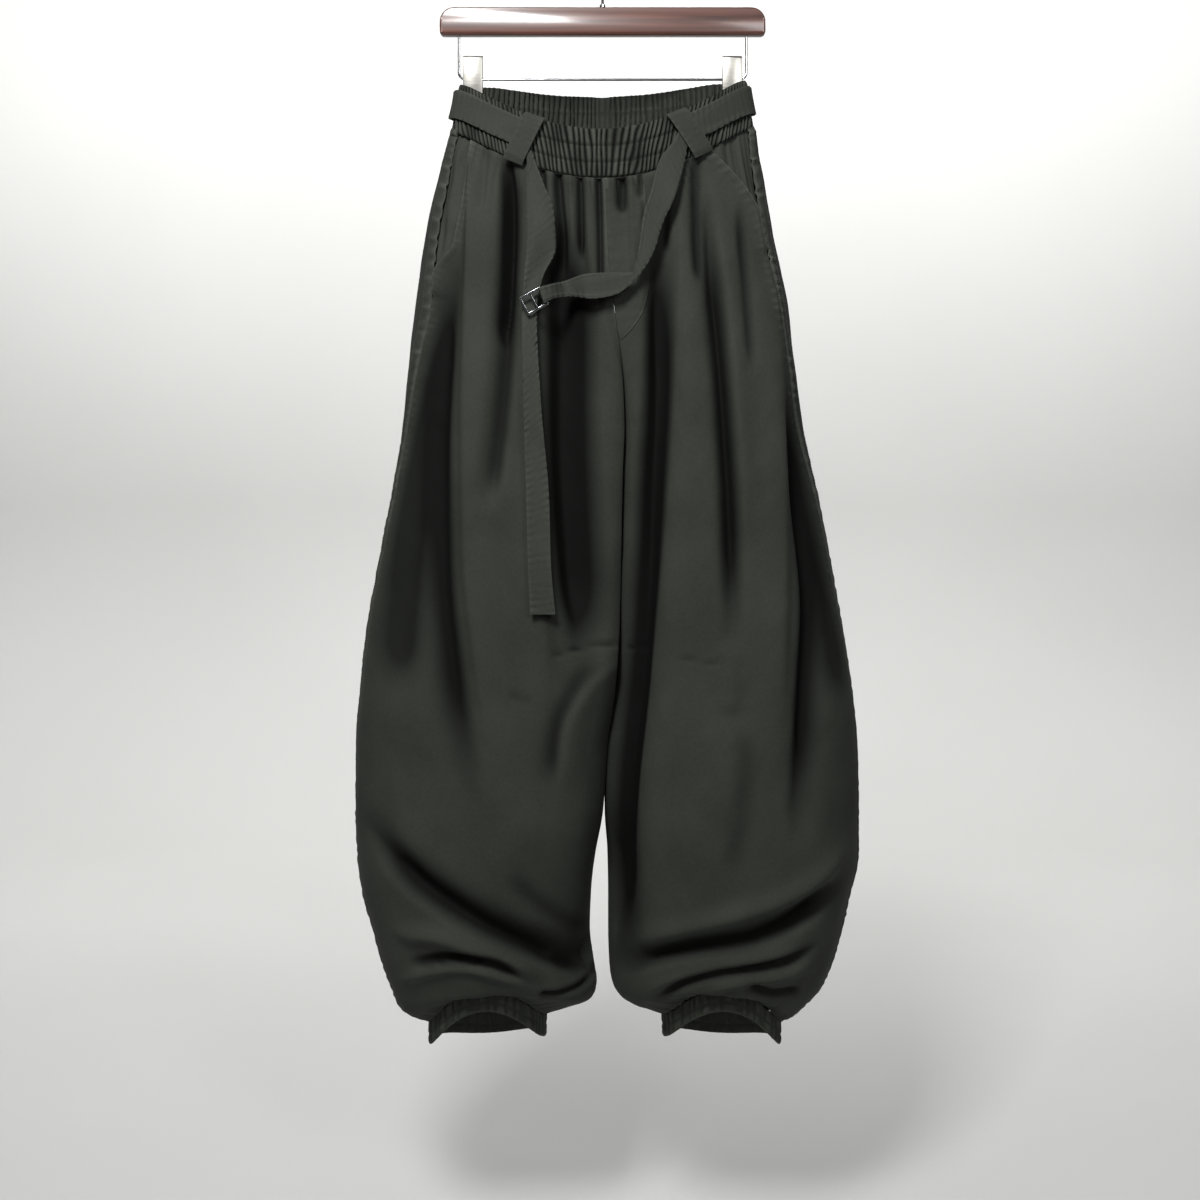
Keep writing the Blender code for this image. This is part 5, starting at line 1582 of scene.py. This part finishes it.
def ferrule():
    """The turned collar through which the hook enters the bar."""
    piece = start_piece(
        bpy.ops.mesh.primitive_cylinder_add, vertices=32, radius=FERRULE_RADIUS, depth=FERRULE_HEIGHT,
        location=(0, 0, BAR_TOP + FERRULE_HEIGHT / 2 + SEAM_GAP),
    )
    mesh = editing("FACE")
    pick(mesh, mesh.faces, lambda f: f.normal.z > 0.9)
    bpy.ops.mesh.inset(thickness=0.0008)
    run((0, 0, FERRULE_LIP))
    bpy.ops.mesh.inset(thickness=0.0005)
    finish_piece(piece, "hanger_ferrule", [], CHROME, 30)


ferrule()

# %% Wire that carries the clips
WIRE_HALF = 0.1608
WIRE_LEVEL = -0.1522
WIRE_BEND = 0.008


def hanger_wire():
    under = BAR_TOP - BAR_SIZE[2] - SEAM_GAP
    piece = wire_start((-WIRE_HALF, 0, under), (0, 0, 0))
    run((0, 0, WIRE_LEVEL + WIRE_BEND - under))
    bend(-90, (-WIRE_HALF + WIRE_BEND, 0, WIRE_LEVEL + WIRE_BEND), 8)
    run((2 * (WIRE_HALF - WIRE_BEND), 0, 0))
    bend(-90, (WIRE_HALF - WIRE_BEND, 0, WIRE_LEVEL + WIRE_BEND), 8)
    run((0, 0, under - WIRE_LEVEL - WIRE_BEND))
    finish_piece(piece, "hanger_wire_chrome", ["hanger_wire"], CHROME)


hanger_wire()

# %% [markdown]
# ## Clips
#
# Each clip is a strip of sheet steel folded over the wire. A plane is stood up as the front jaw,
# its top edge is spun over into the fold and run down as the back jaw, and then the sheet gets its
# thickness.

# %% Clips
CLIP_SIZE = (0.0220, 0.0072, 0.062)
CLIP_PLATE = 0.0012
CLIP_TOP = -0.1255


def clip(side):
    width, depth, height = CLIP_SIZE
    outer_radius = depth / 2
    fold = CLIP_TOP - outer_radius
    piece = start_piece(
        bpy.ops.mesh.primitive_plane_add, size=1, rotation=(math.pi / 2, 0, 0),
        location=(side * CLIP_X, -outer_radius, CLIP_TOP - height / 2 - outer_radius / 2),
    )
    piece.scale = (width, height - outer_radius, 1)
    bpy.ops.object.transform_apply(location=True, rotation=True, scale=True)
    mesh = editing()
    pick(mesh, mesh.edges, lambda e: all(v.co.z > fold - 0.0005 for v in e.verts))
    bpy.ops.mesh.spin(steps=10, angle=math.pi, center=(0, 0, fold), axis=(1, 0, 0))
    bpy.ops.object.mode_set(mode="OBJECT")
    highest = max(v.co.z for v in piece.data.vertices)
    if highest < fold + 0.001:
        raise SystemExit("the clip's fold went down instead of up")
    mesh = editing()
    pick(mesh, mesh.edges, lambda e: all(abs(v.co.z - fold) < 0.0003 and v.co.y > 0.001 for v in e.verts))
    bpy.ops.mesh.extrude_edges_move(TRANSFORM_OT_translate={"value": (0, 0, outer_radius - height)})
    bpy.ops.mesh.select_all(action="SELECT")
    bpy.ops.mesh.normals_make_consistent(inside=False)
    bpy.ops.object.mode_set(mode="OBJECT")
    thicken(piece, CLIP_PLATE, -1, 0.0004, 2)
    where = WHERE[side]
    finish_piece(piece, f"clip_{where}_metal", [f"clip_{where}"], NICKEL, 50)


for side in (-1, 1):
    clip(side)

# %% [markdown]
# ## Buckle
#
# The slider is a flat die-cast frame with a bar across its middle, nickel-plated. A plane at its
# size is inset and its middle removed, then it gets a thickness and rounded edges. It hangs turned
# 29 degrees, as the strap through it does.

# %% Buckle
BUCKLE_BAR = 0.0021


def buckle():
    width, thickness, height = BUCKLE_SIZE
    low, high = (Vector(corner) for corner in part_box("buckle"))
    piece = start_piece(bpy.ops.mesh.primitive_plane_add, size=1, rotation=(math.pi / 2, 0, 0))
    piece.scale = (width, height, 1)
    bpy.ops.object.transform_apply(location=True, rotation=True, scale=True)
    mesh = editing("FACE")
    pick(mesh, mesh.faces, lambda f: True)
    bpy.ops.mesh.inset(thickness=BUCKLE_RAIL)
    for across in (-BUCKLE_BAR / 2, BUCKLE_BAR / 2):
        bpy.ops.mesh.select_all(action="SELECT")
        bpy.ops.mesh.bisect(plane_co=(across, 0, 0), plane_no=(1, 0, 0))
    mesh = bmesh.from_edit_mesh(piece.data)
    hole_w, hole_h = width / 2 - BUCKLE_RAIL, height / 2 - BUCKLE_RAIL

    def in_window(face):
        centre = face.calc_center_median()
        return BUCKLE_BAR / 2 < abs(centre.x) < hole_w and abs(centre.z) < hole_h

    pick(mesh, mesh.faces, in_window)
    bpy.ops.mesh.delete(type="FACE")
    bpy.ops.object.mode_set(mode="OBJECT")
    thicken(piece, thickness, 0, 0.0007, 3)
    piece.rotation_euler = (0, BUCKLE_TURN, 0)
    piece.location = (low + high) / 2
    finish_piece(piece, "buckle_plate", ["buckle"], BUCKLE_PLATE, 50)


buckle()

# %% [markdown]
# ## Floor and light
#
# The trousers are shown over a plain pale floor that curves up into a backdrop. Dark cloth needs a
# small key light: it stands high in front, a little to one side, so each fold has a lit and a dark
# flank. A large soft light would flatten them. A weaker light from the other side opens the
# shadows, and a long strip light washes the backdrop.

# %% Backdrop and lights
FLOOR_LEVEL = -1.46
BACKDROP = 2.7  # behind the trousers, so that they can be looked at from the back too
SWEEP = 0.8  # radius of the curve between the floor and the backdrop


def backdrop():
    piece = start_piece(bpy.ops.mesh.primitive_plane_add, size=1, location=(0, -1.2, FLOOR_LEVEL))
    piece.scale = (8, 2 * (BACKDROP - SWEEP + 1.2), 1)
    bpy.ops.object.transform_apply(location=True, rotation=True, scale=True)
    far = max(v.co.y for v in piece.data.vertices)
    mesh = editing()
    pick(mesh, mesh.edges, lambda e: all(v.co.y > far - 0.01 for v in e.verts))
    bpy.ops.mesh.spin(steps=14, angle=-math.pi / 2, center=(0, far, FLOOR_LEVEL + SWEEP), axis=(1, 0, 0))
    bpy.ops.mesh.extrude_edges_move(TRANSFORM_OT_translate={"value": (0, 0, 3.5)})
    bpy.ops.object.mode_set(mode="OBJECT")
    bpy.ops.object.shade_smooth()
    made, tree, shader = new_material("matt painted backdrop", {"Roughness": 0.9})
    place = add_node(tree, "TexCoord")
    noise = add_node(tree, "TexNoise", {"Scale": 1.4}, {"Vector": place.outputs["Object"]})
    tone = add_node(
        tree, "Mix", {"data_type": "RGBA", 6: colour("#b4b4b2"), 7: colour("#bcbcba")},
        {0: noise.outputs["Fac"]},
    )
    tree.links.new(tone.outputs[2], shader.inputs["Base Color"])
    piece.name = "backdrop"
    piece.data.materials.append(made)
    print("backdrop top:", round(max(v.co.z for v in piece.data.vertices), 2))


backdrop()


def area_light(name, place, target, size, watts, tint="#ffffff"):
    light = bpy.data.lights.new(name, "AREA")
    light.shape = "RECTANGLE"
    light.size, light.size_y = size
    light.energy = watts
    light.color = colour(tint)[:3]
    holder = bpy.data.objects.new(name, light)
    holder.location = place
    holder.rotation_euler = (Vector(target) - Vector(place)).to_track_quat("-Z", "Y").to_euler()
    bpy.context.scene.collection.objects.link(holder)


area_light("key", (-0.50, -1.65, 0.95), (0, 0, -0.65), (0.5, 0.7), 62)
area_light("fill", (1.0, -2.4, 0.5), (0, 0, -0.75), (0.5, 0.8), 15)
area_light("backdrop wash", (0, 1.50, 1.2), (0, 2.7, -1.1), (5.0, 0.5), 120)
world = bpy.data.worlds.new("soft room")
world.use_nodes = True
world.node_tree.nodes["Background"].inputs["Color"].default_value = colour("#d8dadc")
world.node_tree.nodes["Background"].inputs["Strength"].default_value = 0.07
bpy.context.scene.world = world
